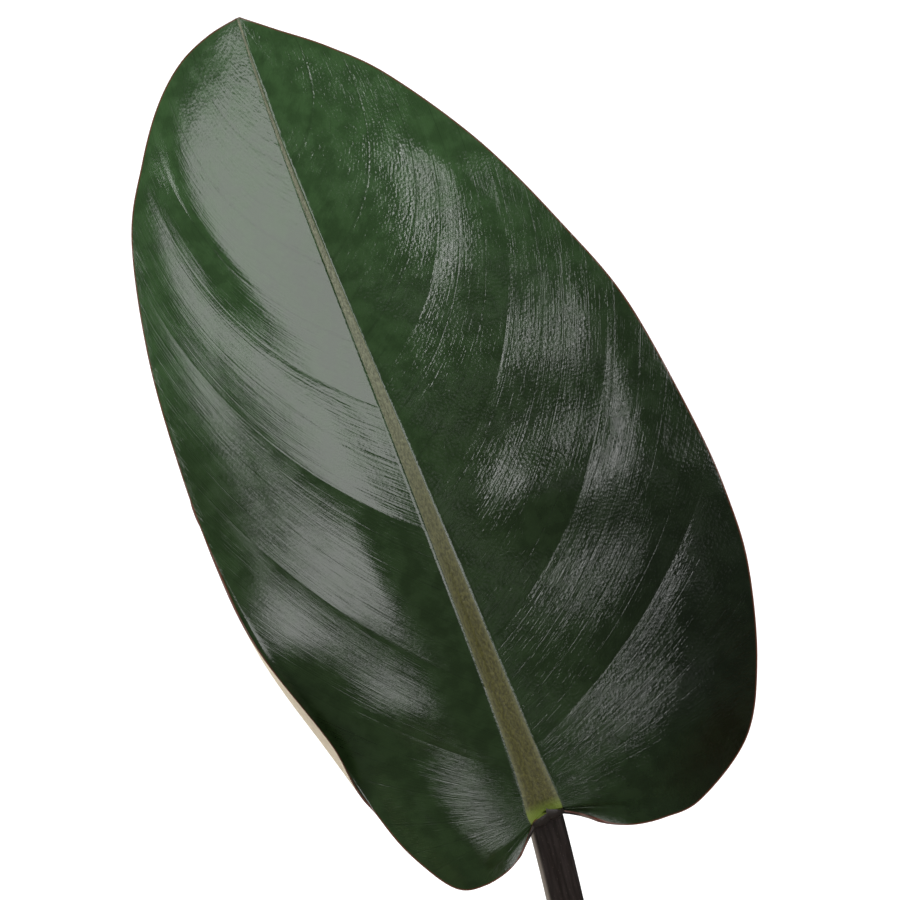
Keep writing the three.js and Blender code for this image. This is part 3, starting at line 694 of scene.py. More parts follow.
def leaf_face(name, dark, light, deep, rib_low, rib_high, roughness):
    """Waxy leaf skin. Wax over dark tissue gives the eye a clear but broken mirror on a deep colour."""
    material, tree, shader = new_material(name)
    along, on_blade = node(tree, ALONG_VEINS), node(tree, ON_BLADE)
    rib, margin = node(tree, RIB_SHARE), node(tree, MARGIN_MM)
    place, round_leaf = node(tree, SPLIT, on_blade), node(tree, SPLIT, along)

    grooves = node(tree, FLAT_NOISE, Scale=1, Detail=2, Roughness=0.6, Vector=node(
        tree, PLACED, along, (5, ROUND_LENGTH / GROOVE_SPACING, 1)))
    strokes = node(tree, FLAT_NOISE, Scale=1, Detail=3, Roughness=0.6, Vector=node(
        tree, PLACED, along, (7, ROUND_LENGTH / STROKE_SPACING, 1)))
    hairs = node(tree, FLAT_NOISE, Scale=1, Detail=1, Vector=node(
        tree, PLACED, along, (16, ROUND_LENGTH / HAIR_SPACING, 1)))
    down = node(tree, FLAT_NOISE, Scale=1, Detail=4, Roughness=0.7, Vector=node(
        tree, PLACED, on_blade, DOWN_TUFTS))
    patches = node(tree, FLAT_NOISE, Vector=on_blade, Scale=1 / PATCH, Detail=3, Roughness=0.55)
    drift = node(tree, FLAT_NOISE, Vector=on_blade, Scale=22, Detail=1)
    pebbles = node(tree, ROUND_CELLS, Vector=on_blade, Scale=1 / PEBBLE, Smoothness=0.6)
    side_vein = node(tree, LINES, W=round_leaf[1], Scale=SIDE_VEINS, Randomness=0.85)
    side_vein = node(tree, STRETCH, side_vein, 0.0, 0.04, 1, 0)

    green = mottled_green(tree, place, patches, drift, dark, light, deep)
    green = node(tree, BLEND, node(tree, STRETCH, grooves, 0.55, 0.8, 0, 0.18), green, deep)
    green = node(tree, BLEND, node(tree, TIMES, side_vein, 0.2), green, deep)
    on_rib = node(tree, STRETCH, rib, 0.12, 0.3)
    green = node(tree, BLEND, on_rib, green, downy_olive(tree, place, down, rib, rib_low, rib_high))
    green = node(tree, BLEND, node(tree, STRETCH, margin, 0.5, 0.2), green, "#5c3324")

    near_rib = node(tree, STRETCH, node(tree, ABSOLUTE, round_leaf[0]), 0.34, 0.04)
    rough_side = node(tree, STRETCH, place[0], -0.01, 0.02, 0.3, 1.0)
    relief = node(tree, BUMP, grooves, RELIEF["groove"], 0.8)
    for height, pattern in (("hair", node(tree, TIMES, hairs, near_rib)), ("side_vein", side_vein),
                            ("stroke", strokes), ("pebble", node(tree, TIMES, pebbles, rough_side)),
                            ("down", node(tree, TIMES, down, rib))):
        relief = node(tree, BUMP, pattern, RELIEF[height], 0.8, relief)
    uneven = node(tree, STRETCH, patches, 0.3, 0.7, roughness - 0.03, roughness + 0.04)
    rough = node(tree, PLUS, node(tree, TIMES, on_rib, 0.4), uneven)
    shader.inputs["IOR"].default_value = WAX_IOR
    connect(tree, shader, Base_Color=green, Roughness=rough, Normal=relief)
    return material


print("reliefs on the upper face:", len(RELIEF))

# %% [markdown]
# The underside has little wax. It is a pale dull green with a flush near the margin, its veins and cord
# are red-brown, and round the stalk it is as dark as the stalk. The cut-thin margin is a corky line. A
# full-grown leaf is green and the newest one is still bronze and wine red, so both get a set of three.

# %% The underside, the margin, and both sets


def leaf_back(name, field, flush, cord, collar):
    """Bare leaf tissue. With little wax on it, the eye sees soft even colour and hardly a reflection."""
    material, tree, shader = new_material(name)
    along, on_blade = node(tree, ALONG_VEINS), node(tree, ON_BLADE)
    rib, margin, vein = node(tree, RIB_SHARE), node(tree, MARGIN_MM), node(tree, VEIN_SHARE)
    grooves = node(tree, FLAT_NOISE, Scale=1, Detail=2, Vector=node(
        tree, PLACED, along, (4, ROUND_LENGTH / GROOVE_SPACING / 2, 1)))
    patches = node(tree, FLAT_NOISE, Vector=on_blade, Scale=1 / PATCH, Detail=3)
    colour = node(tree, BLEND, node(tree, STRETCH, patches, 0.3, 0.7, 0, 0.25), field, flush)
    colour = node(tree, BLEND, node(tree, STRETCH, margin, 9, 2), colour, flush)
    colour = node(tree, BLEND, node(tree, TIMES, vein, 0.6), colour, cord)
    colour = node(tree, BLEND, node(tree, STRETCH, rib, 0.1, 0.4), colour, cord)
    from_foot = node(tree, DISTANCE, on_blade)
    colour = node(tree, BLEND, node(tree, STRETCH, from_foot, 0.017, 0.008), colour, collar)
    shader.inputs["IOR"].default_value = 1.45
    shader.inputs["Roughness"].default_value = 0.5
    connect(tree, shader, Base_Color=colour, Normal=node(tree, BUMP, grooves, 0.0001, 0.7))
    return material


def corky_margin(name, colour):
    """Cork. The eye sees a dull line with darker brown flecks, drawn 1.7 mm long so that they show."""
    material, tree, shader = new_material(name)
    flecks = node(tree, NOISE, Vector=node(tree, OBJECT_PLACE), Scale=600, Detail=2)
    tint = node(tree, BLEND, node(tree, STRETCH, flecks, 0.35, 0.7, 0, 0.5), colour, "#2f211a")
    shader.inputs["Roughness"].default_value = 0.5
    connect(tree, shader, Base_Color=tint)
    return material


green_leaf = [
    leaf_face("waxy_green_leaf", "#202f18", "#2f4828", "#0e160a", "#353312", "#545223", 0.14),
    leaf_back("dull_leaf_underside", "#7c8762", "#c9bba4", "#6a4a3e", "#241e1a"),
    corky_margin("corky_leaf_margin", "#5a3326"),
]
young_leaf = [
    leaf_face("waxy_bronze_young_leaf", "#4a2018", "#6b3524", "#33130f", "#6b2a24", "#94524a", 0.26),
    leaf_back("red_young_leaf_underside", "#7a3a32", "#8f4d42", "#5e1c22", "#7d4a34"),
    corky_margin("red_young_leaf_margin", "#6d2a26"),
]
print("leaf materials:", [material.name for material in green_leaf + young_leaf])

# %% [markdown]
# The tall leaf is seen close and gets more rows than the rest. Each blade has three finishes: the
# Solidify modifier gives the second to the underside and the third to the rim. It is applied, so that
# the thickness is real mesh. All but the sharp edge of the margin is then shaded smooth.

# %% Build the blades
for leaf in LEAVES:
    rows, spans = FINE if leaf["name"] == "tall_leaf" else PLAIN
    piece = blade(leaf, rows, spans)
    for material in (young_leaf if leaf["name"] == "newest_leaf" else green_leaf):
        piece.data.materials.append(material)
    apply_modifiers(piece)
    finish_rib_end(piece)
    select_only(piece)
    bpy.ops.object.shade_smooth_by_angle(angle=72 * DEGREE)
    hand_over(piece, leaf["name"] + "_blade")

# %% [markdown]
# A stalk is a fleshy rod, D-shaped in section with its flat side toward the stem, and broad at its foot
# where it clasps the stem. A cylinder could be bent by a curve, but its flat side has to turn with the
# leaf. So a grid is wrapped round the stalk's own middle line, ring by ring, and its seam and ends closed.

# %% Tubes round a middle line


def tube(name, sides, rings, section):
    """Wraps a grid round rings of (middle, right, up). Section gives right and up reach by angle and share."""
    angle = 2 * math.pi * np.arange(sides + 1) / sides
    last = len(rings) - 1
    shell = np.zeros((last + 1, sides + 1, 3))
    for i, (middle, right, up) in enumerate(rings):
        wide, high = section(angle, i / last)
        shell[i] = np.array(middle) + np.outer(wide, right) + np.outer(high, up)
    shell[:, -1] = shell[:, 0]
    piece, column, row = wrapped_grid(name, sides, last, lambda column, row: shell[row, column])
    piece.data.uv_layers[0].name = "round_and_along"
    keep_map(piece, "round_and_along", column / sides, row / last)
    select_only(piece)
    bpy.ops.object.mode_set(mode="EDIT")
    bpy.ops.mesh.select_all(action="SELECT")
    bpy.ops.mesh.remove_doubles(threshold=0.00001)
    bpy.ops.mesh.fill_holes(sides=0)
    bpy.ops.mesh.select_all(action="SELECT")
    bpy.ops.mesh.normals_make_consistent(inside=False)
    bpy.ops.object.mode_set(mode="OBJECT")
    bpy.ops.object.shade_smooth_by_angle(angle=50 * DEGREE)
    return piece


def bezier(points, share):
    """A point on the cubic curve of four points, and the curve's direction there."""
    a, b, c, d = points
    rest = 1 - share
    point = a * rest ** 3 + b * (3 * rest ** 2 * share) + c * (3 * rest * share ** 2) + d * share ** 3
    along = (b - a) * rest ** 2 + (c - b) * (2 * rest * share) + (d - c) * share ** 2
    return point, along.normalized()


print("tubes are wrapped grids with closed seams")

# %% [markdown]
# Each stalk follows a smooth curve that four points guide. It leaves the stem at the height and turn of
# its place in the spiral, leans out, and a knee below the blade turns it to the blade's own line. Its
# section is round below and nearly flat above, with a shallow channel along the middle. It is 0.4 mm
# wider on each side than in the construction, because the stalk in the photograph is.

# %% The stalks
SPIRAL = {"height": 160, "rise": 9, "angle": 247.5, "turn": 137.5}
STALK = {"half_width": 5.2, "depth": 5, "flat": 0.45, "foot_spread": 1.9, "foot_fade": 9, "foot_depth": 0.2,
         "inset": 6, "lean": 33, "lean_reach": 0.42, "knee": 13, "knee_reach": 0.24, "tuck": 5}
# Over the last share of its length a stalk narrows a little, to end inside the rib's own width.
STALK_END = {"narrows": 0.16, "share": 0.05}
STALK_SIDES = 32
STALK_STEPS = 72
# The thickness that the construction gives its blades, in millimetres.
BLADE_SHEET = 0.9


def stalk_line(leaf, order):
    """The stalk's four guide points in millimetres, as the construction has them, and its directions."""
    turn = (SPIRAL["angle"] + SPIRAL["turn"] * order) * DEGREE
    out = Vector((math.cos(turn), math.sin(turn), 0))
    pose, size = pose_of(leaf), leaf["length"] / BLADE_LENGTH
    tipward, facing = pose @ Vector((0, 1, 0)), pose @ Vector((0, 0, 1))
    start = out * STALK["inset"] + Vector((0, 0, SPIRAL["height"] + SPIRAL["rise"] * order))
    end = Vector(leaf["base"]) - facing * (size * (BLADE_SHEET + RIB["depth"]) / 2) + tipward * STALK["tuck"]
    span = end - start
    lean = out * math.sin(STALK["lean"] * DEGREE) + Vector((0, 0, math.cos(STALK["lean"] * DEGREE)))
    turned = min(tipward.angle(span), STALK["knee"] * DEGREE)
    arrive = Matrix.Rotation(turned, 3, tipward.cross(span).normalized()) @ tipward
    guides = [start, start + lean * (span.length * STALK["lean_reach"]),
              end - arrive * (span.length * STALK["knee_reach"]), end]
    return guides, out, facing, size


def stalk(leaf, order):
    guides, out, facing, size = stalk_line(leaf, order)
    rings = []
    for i in range(STALK_STEPS + 1):
        share = i / STALK_STEPS
        point, along = bezier(guides, share)
        flat = (-out).lerp(facing, share)
        flat = (flat - along * flat.dot(along)).normalized()
        rings.append((point * MM, along.cross(flat), flat))

    def section(angle, share):
        spread = 1 + (STALK["foot_spread"] - 1) * math.exp(-STALK["foot_fade"] * share)
        past = max(share - (1 - STALK_END["share"]), 0) / STALK_END["share"]
        spread *= 1 - STALK_END["narrows"] * past
        wide = STALK["half_width"] * size * spread * MM
        deep = STALK["depth"] * size * (1 + STALK["foot_depth"] * (spread - 1)) * MM
        across, high = np.cos(angle), np.sin(angle)
        top = STALK["flat"] * (np.abs(high) ** 0.45 - 0.25 * np.exp(-(across / 0.45) ** 2))
        return wide * across, deep * np.where(high > 0, top, high)

    return tube(leaf["name"] + "_stalk", STALK_SIDES, rings, section)


print("each stalk has", STALK_SIDES, "sides and", STALK_STEPS + 1, "rings")

# %% [markdown]
# The stalks of this plant are so dark a purple brown that they look black, with a satin skin. Fine
# streaks run along them and pale corky flecks a millimetre long lie between. A paler band is painted down
# one flank as a painted highlight. Young stalks are wine red.

# %% Stalk finishes
ROUND_AND_ALONG = ("ShaderNodeUVMap", {"uv_map": "round_and_along"}, (), 0)
FLECKS = ("ShaderNodeTexVoronoi", {"voronoi_dimensions": "2D"}, (), 0)
# Once round the stalk and once along it: how many streaks, and how many cells with a fleck in each. A
# stalk is about 30 mm round, so a streak is near 1.2 mm wide, drawn coarse enough to show.
STREAKS_EACH_WAY = (26, 9, 1)
CELLS_EACH_WAY = (16, 60, 1)
# The painted highlight down one flank: where round the stalk it starts and ends, each with a soft edge, and how
# pale it is.
PAINTED_FLANK_HIGHLIGHT = {"from": (0.38, 0.44), "to": (0.60, 0.55), "share": 0.8}


def stalk_skin(name, dark, light, fleck, painted_highlight, roughness):
    """Smooth plant skin. Its satin gives the eye one long soft highlight along the rod."""
    material, tree, shader = new_material(name)
    wrap = node(tree, ROUND_AND_ALONG)
    streaks = node(tree, FLAT_NOISE, Scale=1, Detail=4, Roughness=0.6, Vector=node(
        tree, PLACED, wrap, STREAKS_EACH_WAY))
    cells = node(tree, FLECKS, Vector=node(tree, PLACED, wrap, CELLS_EACH_WAY), Scale=1)
    drift = node(tree, NOISE, Vector=node(tree, OBJECT_PLACE), Scale=60, Detail=2)
    colour = node(tree, BLEND, node(tree, STRETCH, streaks, 0.35, 0.7), dark, light)
    colour = node(tree, BLEND, node(tree, STRETCH, drift, 0.45, 0.75, 0, 0.5), colour, dark)
    colour = node(tree, BLEND, node(tree, STRETCH, cells, 0.12, 0.05, 0, 0.6), colour, fleck)
    # Painted highlight: a paler band down one flank, where the light falls.
    turn = node(tree, SPLIT, wrap)[0]
    painted_highlight_band = node(tree, TIMES, node(tree, STRETCH, turn, *PAINTED_FLANK_HIGHLIGHT["from"]),
                 node(tree, STRETCH, turn, *PAINTED_FLANK_HIGHLIGHT["to"]))
    colour = node(tree, BLEND, node(tree, TIMES, painted_highlight_band, PAINTED_FLANK_HIGHLIGHT["share"]), colour, painted_highlight)
    rough = node(tree, STRETCH, streaks, 0.3, 0.7, roughness - 0.05, roughness + 0.1)
    shader.inputs["IOR"].default_value = 1.45
    connect(tree, shader, Base_Color=colour, Roughness=rough, Normal=node(tree, BUMP, streaks, 0.0003, 0.5))
    return material


# The last colour of each is the painted highlight down one flank.
dark_stalk = stalk_skin("satin_dark_stalk", "#1b1613", "#2b2321", "#3d3330", "#867c72", 0.36)
red_stalk = stalk_skin("satin_red_young_stalk", "#4f141b", "#7d2a2c", "#a2605a", "#93524c", 0.33)

for order, leaf in enumerate(LEAVES):
    young = leaf["name"] == "newest_leaf"
    piece = stalk(leaf, order)
    piece.data.materials.append(red_stalk if young else dark_stalk)
    hand_over(piece, leaf["name"] + "_petiole")

# %% [markdown]
# The stem is short and thick. Each leaf leaves a raised ring round it, a little aslant, and the bark has
# low ridges along it. A profile spun on a lathe would be too even. So the stem is a tube, whose section
# can change with the height.

# %% The stem
# In millimetres: the height of the mix's edge, where the stem starts and ends, and its radius at each
# height above its foot.
MIX_EDGE = 136
STEM_FOOT = 108
STEM_TOP = 244
STEM_LEVELS = [(0, 14), (6, 19), (44, 19.6), (52, 18), (70, 18.6), (78, 17), (96, 16.8), (112, 15), (126, 13),
               (133, 9.5), (136, 2)]
STEM_SIDES = 96
STEM_STEPS = 150
# A leaf's ring: how far below the leaf it lies, how far and which way it tilts, its height and half width.
SCAR = {"below": 3, "tilt": 2, "turn": 2.4, "height": 0.7, "half_width": 1.1}
# The ridges of the bark: how high they are, how many go round, and how fast they wind.
RIDGES = ((0.25, 9, 0.05), (0.15, 23, -0.11))


def stem_radius(height):
    rises, radii = zip(*STEM_LEVELS)
    return float(np.interp(height - STEM_FOOT, rises, radii))


def stem():
    levels = np.append(np.linspace(STEM_FOOT, STEM_TOP, STEM_STEPS), STEM_TOP + 0.1)
    rings = [(Vector((0, 0, height)) * MM, (1, 0, 0), (0, 1, 0)) for height in levels]

    def section(angle, share):
        height = float(np.interp(share, np.linspace(0, 1, len(levels)), levels))
        radius = stem_radius(height)
        for order in range(len(LEAVES)):
            scar = SPIRAL["height"] + SPIRAL["rise"] * order - SCAR["below"]
            scar = scar + SCAR["tilt"] * np.sin(angle + order * SCAR["turn"])
            radius = radius + SCAR["height"] * np.exp(-((height - scar) / SCAR["half_width"]) ** 2)
        ridges = sum(high * np.sin(count * angle + height * wind) for high, count, wind in RIDGES)
        radius = (radius + ridges) * MM * (0.35 if height > STEM_TOP else 1)
        return radius * np.cos(angle), radius * np.sin(angle)

    return tube("stem_bark", STEM_SIDES, rings, section)


print("the stem shows", STEM_TOP - MIX_EDGE, "mm above the mix's edge")

# %% [markdown]
# The next leaf stands on the stem, still rolled up like a paper cone. The edge of the roll winds round it
# as a low step. It is a tube along a slightly bent middle line, and the step is part of its section.

# %% The rolled new leaf
# The tip's place and the widest radius in millimetres, then how much of it the foot and the belly have.
SPEAR = {"tip": (5, 3, 372), "radius": 8, "foot": 0.56, "belly": 0.4, "blunt": 0.4}
SPEAR_SIDES = 64
SPEAR_STEPS = 90
# The edge of the roll: its height in millimetres, and how many turns it makes up the leaf.
WINDING = {"step": 0.75, "turns": 0.62}
# Pieces that meet stand this many millimetres apart, as in the construction.
SEAT = 0.3


def spear_middle(share):
    foot, tip = Vector((0, 0, STEM_TOP + SEAT)), Vector(SPEAR["tip"])
    bend = Vector((0, 0, (foot.z + tip.z) / 2))
    return foot * (1 - share) ** 2 + bend * (2 * share * (1 - share)) + tip * share ** 2


def spear_radius(share):
    belly = SPEAR["foot"] + SPEAR["belly"] * math.sin(math.pi * min(share / 0.8, 1)) ** 1.5
    return SPEAR["radius"] * belly * (1 - share ** 4) + SPEAR["blunt"]


def spear():
    rings = [(spear_middle(i / SPEAR_STEPS) * MM, (1, 0, 0), (0, 1, 0)) for i in range(SPEAR_STEPS + 1)]

    def section(angle, share):
        wound = np.mod(angle / (2 * math.pi) + WINDING["turns"] * share, 1)
        step = WINDING["step"] * (0.5 - wound) * (1 - share ** 3)
        radius = (spear_radius(share) + step) * MM
        return radius * np.cos(angle), radius * np.sin(angle)

    return tube("rolled_leaf", SPEAR_SIDES, rings, section)


print("the rolled leaf is", SPEAR["tip"][2] - STEM_TOP, "mm tall")

# %% [markdown]
# A thin red sheath wraps the foot of the rolled leaf. It is open on one side, narrows to a point at its
# top, and has a low keel along its back. A sheet is laid round the roll and the Solidify modifier gives it
# its thickness.

# %% The sheath
# In millimetres and degrees: its size, the gap behind it, and how it narrows toward its point. The keel
# is measured in radians from the middle.
SHEATH = {"height": 84, "thickness": 0.6, "half_angle": 115, "flare": 2.5, "gap": 0.5, "narrows": 0.93,
          "narrows_late": 2.2}
KEEL = {"height": 0.7, "half_angle": 0.12}
RIPPLED_EDGE = {"height": 0.5, "along": 17, "round": 4}
SHEATH_GRID = (40, 46)


def sheath():
    """A thin wall round the spear's foot, open on one side and pointed at its top."""
    columns, rows = SHEATH_GRID
    share = SHEATH["height"] / (SPEAR["tip"][2] - STEM_TOP)
    shell = np.zeros((rows + 1, columns + 1, 3))
    for i in range(rows + 1):
        rise = i / rows
        reach = spear_radius(share * rise) + 2 * SEAT + SHEATH["flare"] * rise
        wrap = SHEATH["half_angle"] * (1 - SHEATH["narrows"] * rise ** SHEATH["narrows_late"]) * DEGREE
        angle = wrap * (2 * np.arange(columns + 1) / columns - 1)
        keel = KEEL["height"] * np.exp(-(angle / KEEL["half_angle"]) ** 2) * (1 - 0.5 * rise)
        edge = np.sin(rise * RIPPLED_EDGE["along"] + RIPPLED_EDGE["round"] * angle)
        edge = RIPPLED_EDGE["height"] * edge * np.abs(angle / wrap) ** 3
        radius = reach + SHEATH["gap"] + keel + edge
        shell[i] = np.array(spear_middle(share * rise)) + np.stack(
            [radius * np.cos(angle), radius * np.sin(angle), np.zeros_like(angle)], -1)
    piece, column, row = wrapped_grid("red_sheath", columns, rows, lambda column, row: shell[row, column] * MM)
    piece.data.uv_layers[0].name = "round_and_along"
    select_only(piece)
    bpy.ops.object.mode_set(mode="EDIT")
    bpy.ops.mesh.select_all(action="SELECT")
    bpy.ops.mesh.flip_normals()
    bpy.ops.object.mode_set(mode="OBJECT")
    solid = piece.modifiers.new("thickness", "SOLIDIFY")
    solid.thickness = SHEATH["thickness"] * MM
    solid.offset = 0
    apply_modifiers(piece)
    select_only(piece)
    bpy.ops.object.shade_smooth_by_angle(angle=50 * DEGREE)
    return piece


print("the sheath is", SHEATH["height"], "mm tall")

# %% [markdown]
# Bark is dead cork, so nothing on it shines. On the stem it has split along its length, in cracks about
# 2 mm apart, and in places it is greener. On the roots it is a rough brown rind.

# %% Barks
# Each metre has this many cracks across and along the stem: 2 mm apart and 11 mm long.
CRACKS = (500, 500, 90)
# Grains of the root's rind for each metre, so 1.4 mm wide.
RIND_GRAIN = 700


def bark(name, low, high, green):
    """Cracked bark. The eye sees dark cracks between paler ridges, and greener patches."""
    material, tree, shader = new_material(name)
    coords = node(tree, OBJECT_PLACE)
    cracks = node(tree, NOISE, Scale=1, Detail=5, Roughness=0.65, Vector=node(
        tree, PLACED, coords, CRACKS))
    drift = node(tree, NOISE, Vector=coords, Scale=70, Detail=3)
    colour = node(tree, BLEND, node(tree, STRETCH, cracks, 0.35, 0.65), low, high)
    colour = node(tree, BLEND, node(tree, STRETCH, drift, 0.5, 0.72, 0, 0.7), colour, green)
    shader.inputs["Roughness"].default_value = 0.75
    connect(tree, shader, Base_Color=colour, Normal=node(tree, BUMP, cracks, 0.0006, 0.8))
    return material


def root_bark(name, low, high):
    """Rough rind. The eye sees a dry, grainy brown."""
    material, tree, shader = new_material(name)
    grain = node(tree, NOISE, Vector=node(tree, OBJECT_PLACE), Scale=RIND_GRAIN, Detail=4)
    colour = node(tree, BLEND, node(tree, STRETCH, grain, 0.35, 0.65), low, high)
    shader.inputs["Roughness"].default_value = 0.8
    connect(tree, shader, Base_Color=colour, Normal=node(tree, BUMP, grain, 0.0004, 0.7))
    return material


piece = stem()
piece.data.materials.append(bark("cracked_stem_bark", "#332a1c", "#5b4c33", "#4c5230"))
hand_over(piece, "stem")
piece = spear()
piece.data.materials.append(red_stalk)
hand_over(piece, "spear")
piece = sheath()
piece.data.materials.append(red_stalk)
hand_over(piece, "spear_sheath")

# %% [markdown]
# Thick roots leave the lower stem, arch out and go down into the mix. They are brown and rough, and
# about 5 mm thick, with small swellings. Each is a tube along a smooth curve through five marks.

# %% Prop roots
ROOT = {"radius": 2.6, "inset": 12, "sag": 8, "buried": 14}
# Each root's compass turn in degrees, then its height on the stem and its reach in millimetres.
ROOTS = [(20, 158, 52), (118, 152, 44), (196, 160, 56), (318, 154, 48)]
ROOT_STEPS = 48


def prop_root(name, turn, start, reach):
    out = Vector((math.cos(turn * DEGREE), math.sin(turn * DEGREE), 0))
    marks = [(ROOT["inset"], start), (2 * ROOT["inset"], start - 1), (reach * 0.75, start - ROOT["sag"]),
             (reach, MIX_EDGE + 1), (reach + 2, MIX_EDGE - ROOT["buried"])]
    line, run = smooth_line(marks)
    rings = []
    for i in range(ROOT_STEPS + 1):
        share = i / ROOT_STEPS
        point = np.array([np.interp(share, run, line[:, k]) for k in (0, 1)])
        ahead = np.array([np.interp(min(share + 0.02, 1), run, line[:, k]) for k in (0, 1)])
        behind = np.array([np.interp(max(share - 0.02, 0), run, line[:, k]) for k in (0, 1)])
        flow = (ahead - behind) / np.linalg.norm(ahead - behind)
        along = out * flow[0] + Vector((0, 0, flow[1]))
        side = Vector((0, 0, 1)).cross(out)
        rings.append(((out * point[0] + Vector((0, 0, point[1]))) * MM, side, along.cross(side)))

    def section(angle, share):
        knobs = 1 + 0.06 * math.sin(share * 31 + turn) + 0.05 * np.sin(3 * angle + share * 12)
        radius = ROOT["radius"] * MM * knobs * (1.1 - 0.15 * share)
        return radius * np.cos(angle), radius * np.sin(angle)

    return tube(name, 20, rings, section)


root_finish = root_bark("rough_brown_root", "#5c452e", "#9b8260")
for i, (turn, start, reach) in enumerate(ROOTS):
    piece = prop_root(f"root_{i + 1}", turn, start, reach)
    piece.data.materials.append(root_finish)
    hand_over(piece, f"prop_root_{i + 1}")

# %% [markdown]
# The pot is a thin moulded one, of the kind a grower sells the plant in. Its section is a line of straight
# walls and small steps. So one vertex is extruded along that section and spun round the axis, as on a
# lathe. Cutters take out the drain holes and the notches under the foot, and a bevel rounds each edge.

# %% The pot's section, spun, and its cutters
# All in millimetres, from the axis and from the ground.
POT = {"height": 155, "wall": 2, "foot": 60, "shoulder": 80, "shoulder_height": 137, "rim": 86.5,
       "rim_flare": 1.5, "bead": 88, "bead_height": 3, "disc": 26, "channel": 4, "foot_ring": 6, "slope": 2}
DRAIN = {"count": 8, "radius": 4.5, "ring": 40}
NOTCH = {"count": 4, "width": 8, "height": 2.4, "length": 20}
POT_STEPS = 144


def pot_section():
    wall, slope, high, shoulder = POT["wall"], POT["slope"], POT["height"], POT["shoulder_height"]
    floor = POT["channel"] + wall
    outside = [
        (0, 0), (POT["disc"], 0), (POT["disc"] + slope, POT["channel"]),
        (POT["foot"] - POT["foot_ring"] - slope, POT["channel"]), (POT["foot"] - POT["foot_ring"], 0),
        (POT["foot"] - slope / 2, 0), (POT["foot"], slope), (POT["shoulder"], shoulder),
        (POT["rim"] - POT["rim_flare"], shoulder + slope), (POT["rim"], high - POT["bead_height"] - slope / 2),
        (POT["bead"], high - POT["bead_height"]), (POT["bead"], high - slope / 2), (POT["bead"] - slope, high),
    ]
    inside = [
        (POT["rim"] - wall, high - slope / 2), (POT["rim"] - POT["rim_flare"] - wall, shoulder + 2 * slope),
        (POT["shoulder"] - wall, shoulder + slope), (POT["foot"] - wall, floor + slope),
        (POT["foot"] - wall - slope, floor), (0, floor),
    ]
    return outside + inside


def turned(name, section, steps):
    """Extrudes one vertex along a section of (radius, height) and spins it round the Z axis."""
    select_only()
    bpy.ops.mesh.primitive_plane_add(size=1)
    piece = bpy.context.object
    piece.name = piece.data.name = name
    bpy.ops.object.mode_set(mode="EDIT")
    bpy.ops.mesh.merge(type="CENTER")
    radius, height = section[0]
    bpy.ops.transform.translate(value=(radius * MM, 0, height * MM))
    for (r0, z0), (r1, z1) in zip(section, section[1:]):
        move = {"value": ((r1 - r0) * MM, 0, (z1 - z0) * MM)}
        bpy.ops.mesh.extrude_region_move(TRANSFORM_OT_translate=move)
    bpy.ops.mesh.select_all(action="SELECT")
    bpy.ops.mesh.spin(steps=steps, angle=2 * math.pi, center=(0, 0, 0), axis=(0, 0, 1))
    bpy.ops.mesh.select_all(action="SELECT")
    bpy.ops.mesh.remove_doubles(threshold=0.00001)
    bpy.ops.mesh.normals_make_consistent(inside=False)
    bpy.ops.object.mode_set(mode="OBJECT")
    return piece


def cutters():
    """The drain holes' cylinders and the foot notches' blocks, joined in one cutter."""
    tools = []
    for i in range(DRAIN["count"]):
        angle = (i + 0.5) * 2 * math.pi / DRAIN["count"]
        select_only()
        bpy.ops.mesh.primitive_cylinder_add(vertices=32, radius=DRAIN["radius"] * MM, depth=20 * MM, location=(
            DRAIN["ring"] * MM * math.cos(angle), DRAIN["ring"] * MM * math.sin(angle), 0))
        tools.append(bpy.context.object)
    for i in range(NOTCH["count"]):
        angle = i * 2 * math.pi / NOTCH["count"]
        reach = (POT["foot"] - POT["foot_ring"] / 2) * MM
        select_only()
        bpy.ops.mesh.primitive_cube_add(size=1, rotation=(0, 0, angle), location=(
            reach * math.cos(angle), reach * math.sin(angle), 0))
        tools.append(bpy.context.object)
        tools[-1].scale = (NOTCH["length"] * MM, NOTCH["width"] * MM, 2 * NOTCH["height"] * MM)
    select_only(*tools)
    bpy.ops.object.transform_apply(location=True, rotation=True, scale=True)
    bpy.ops.object.join()
    return bpy.context.object


print("the pot's section has", len(pot_section()), "points")

# %% [markdown]
# The pot is moulded polypropylene, red-brown and matt. Melted plastic leaves faint flow marks where it
# ran into the mould, the mould's own skin is like very fine orange peel, and handling leaves pale scuffs.

# %% Moulded plastic, and the pot cut out
# For each metre: flow marks 55 mm wide and 17 mm high, scuffs 17 mm long and 1.4 mm high, and a peel of
# 1.1 mm, which is coarser than the real skin so that it shows.
FLOW = (18, 18, 60)
SCUFFS = (60, 60, 700)
PEEL = 900


def moulded_plastic(name, low, high):
    """Moulded polypropylene. The eye sees an even tone with one broad dull highlight."""
    material, tree, shader = new_material(name)
    coords = node(tree, OBJECT_PLACE)
    flow = node(tree, NOISE, Scale=1, Detail=3, Vector=node(tree, PLACED, coords, FLOW))
    peel = node(tree, NOISE, Vector=coords, Scale=PEEL, Detail=2)
    scuffs = node(tree, NOISE, Scale=1, Detail=3, Distortion=0.4, Vector=node(
        tree, PLACED, coords, SCUFFS))
    colour = node(tree, BLEND, node(tree, STRETCH, flow, 0.35, 0.7), low, high)
    colour = node(tree, BLEND, node(tree, STRETCH, scuffs, 0.66, 0.78, 0, 0.25), colour, "#c98a6c")
    rough = node(tree, STRETCH, flow, 0.3, 0.7, 0.5, 0.6)
    shader.inputs["IOR"].default_value = 1.49
    connect(tree, shader, Base_Color=colour, Roughness=rough, Normal=node(tree, BUMP, peel, 0.00008, 0.6))
    return material


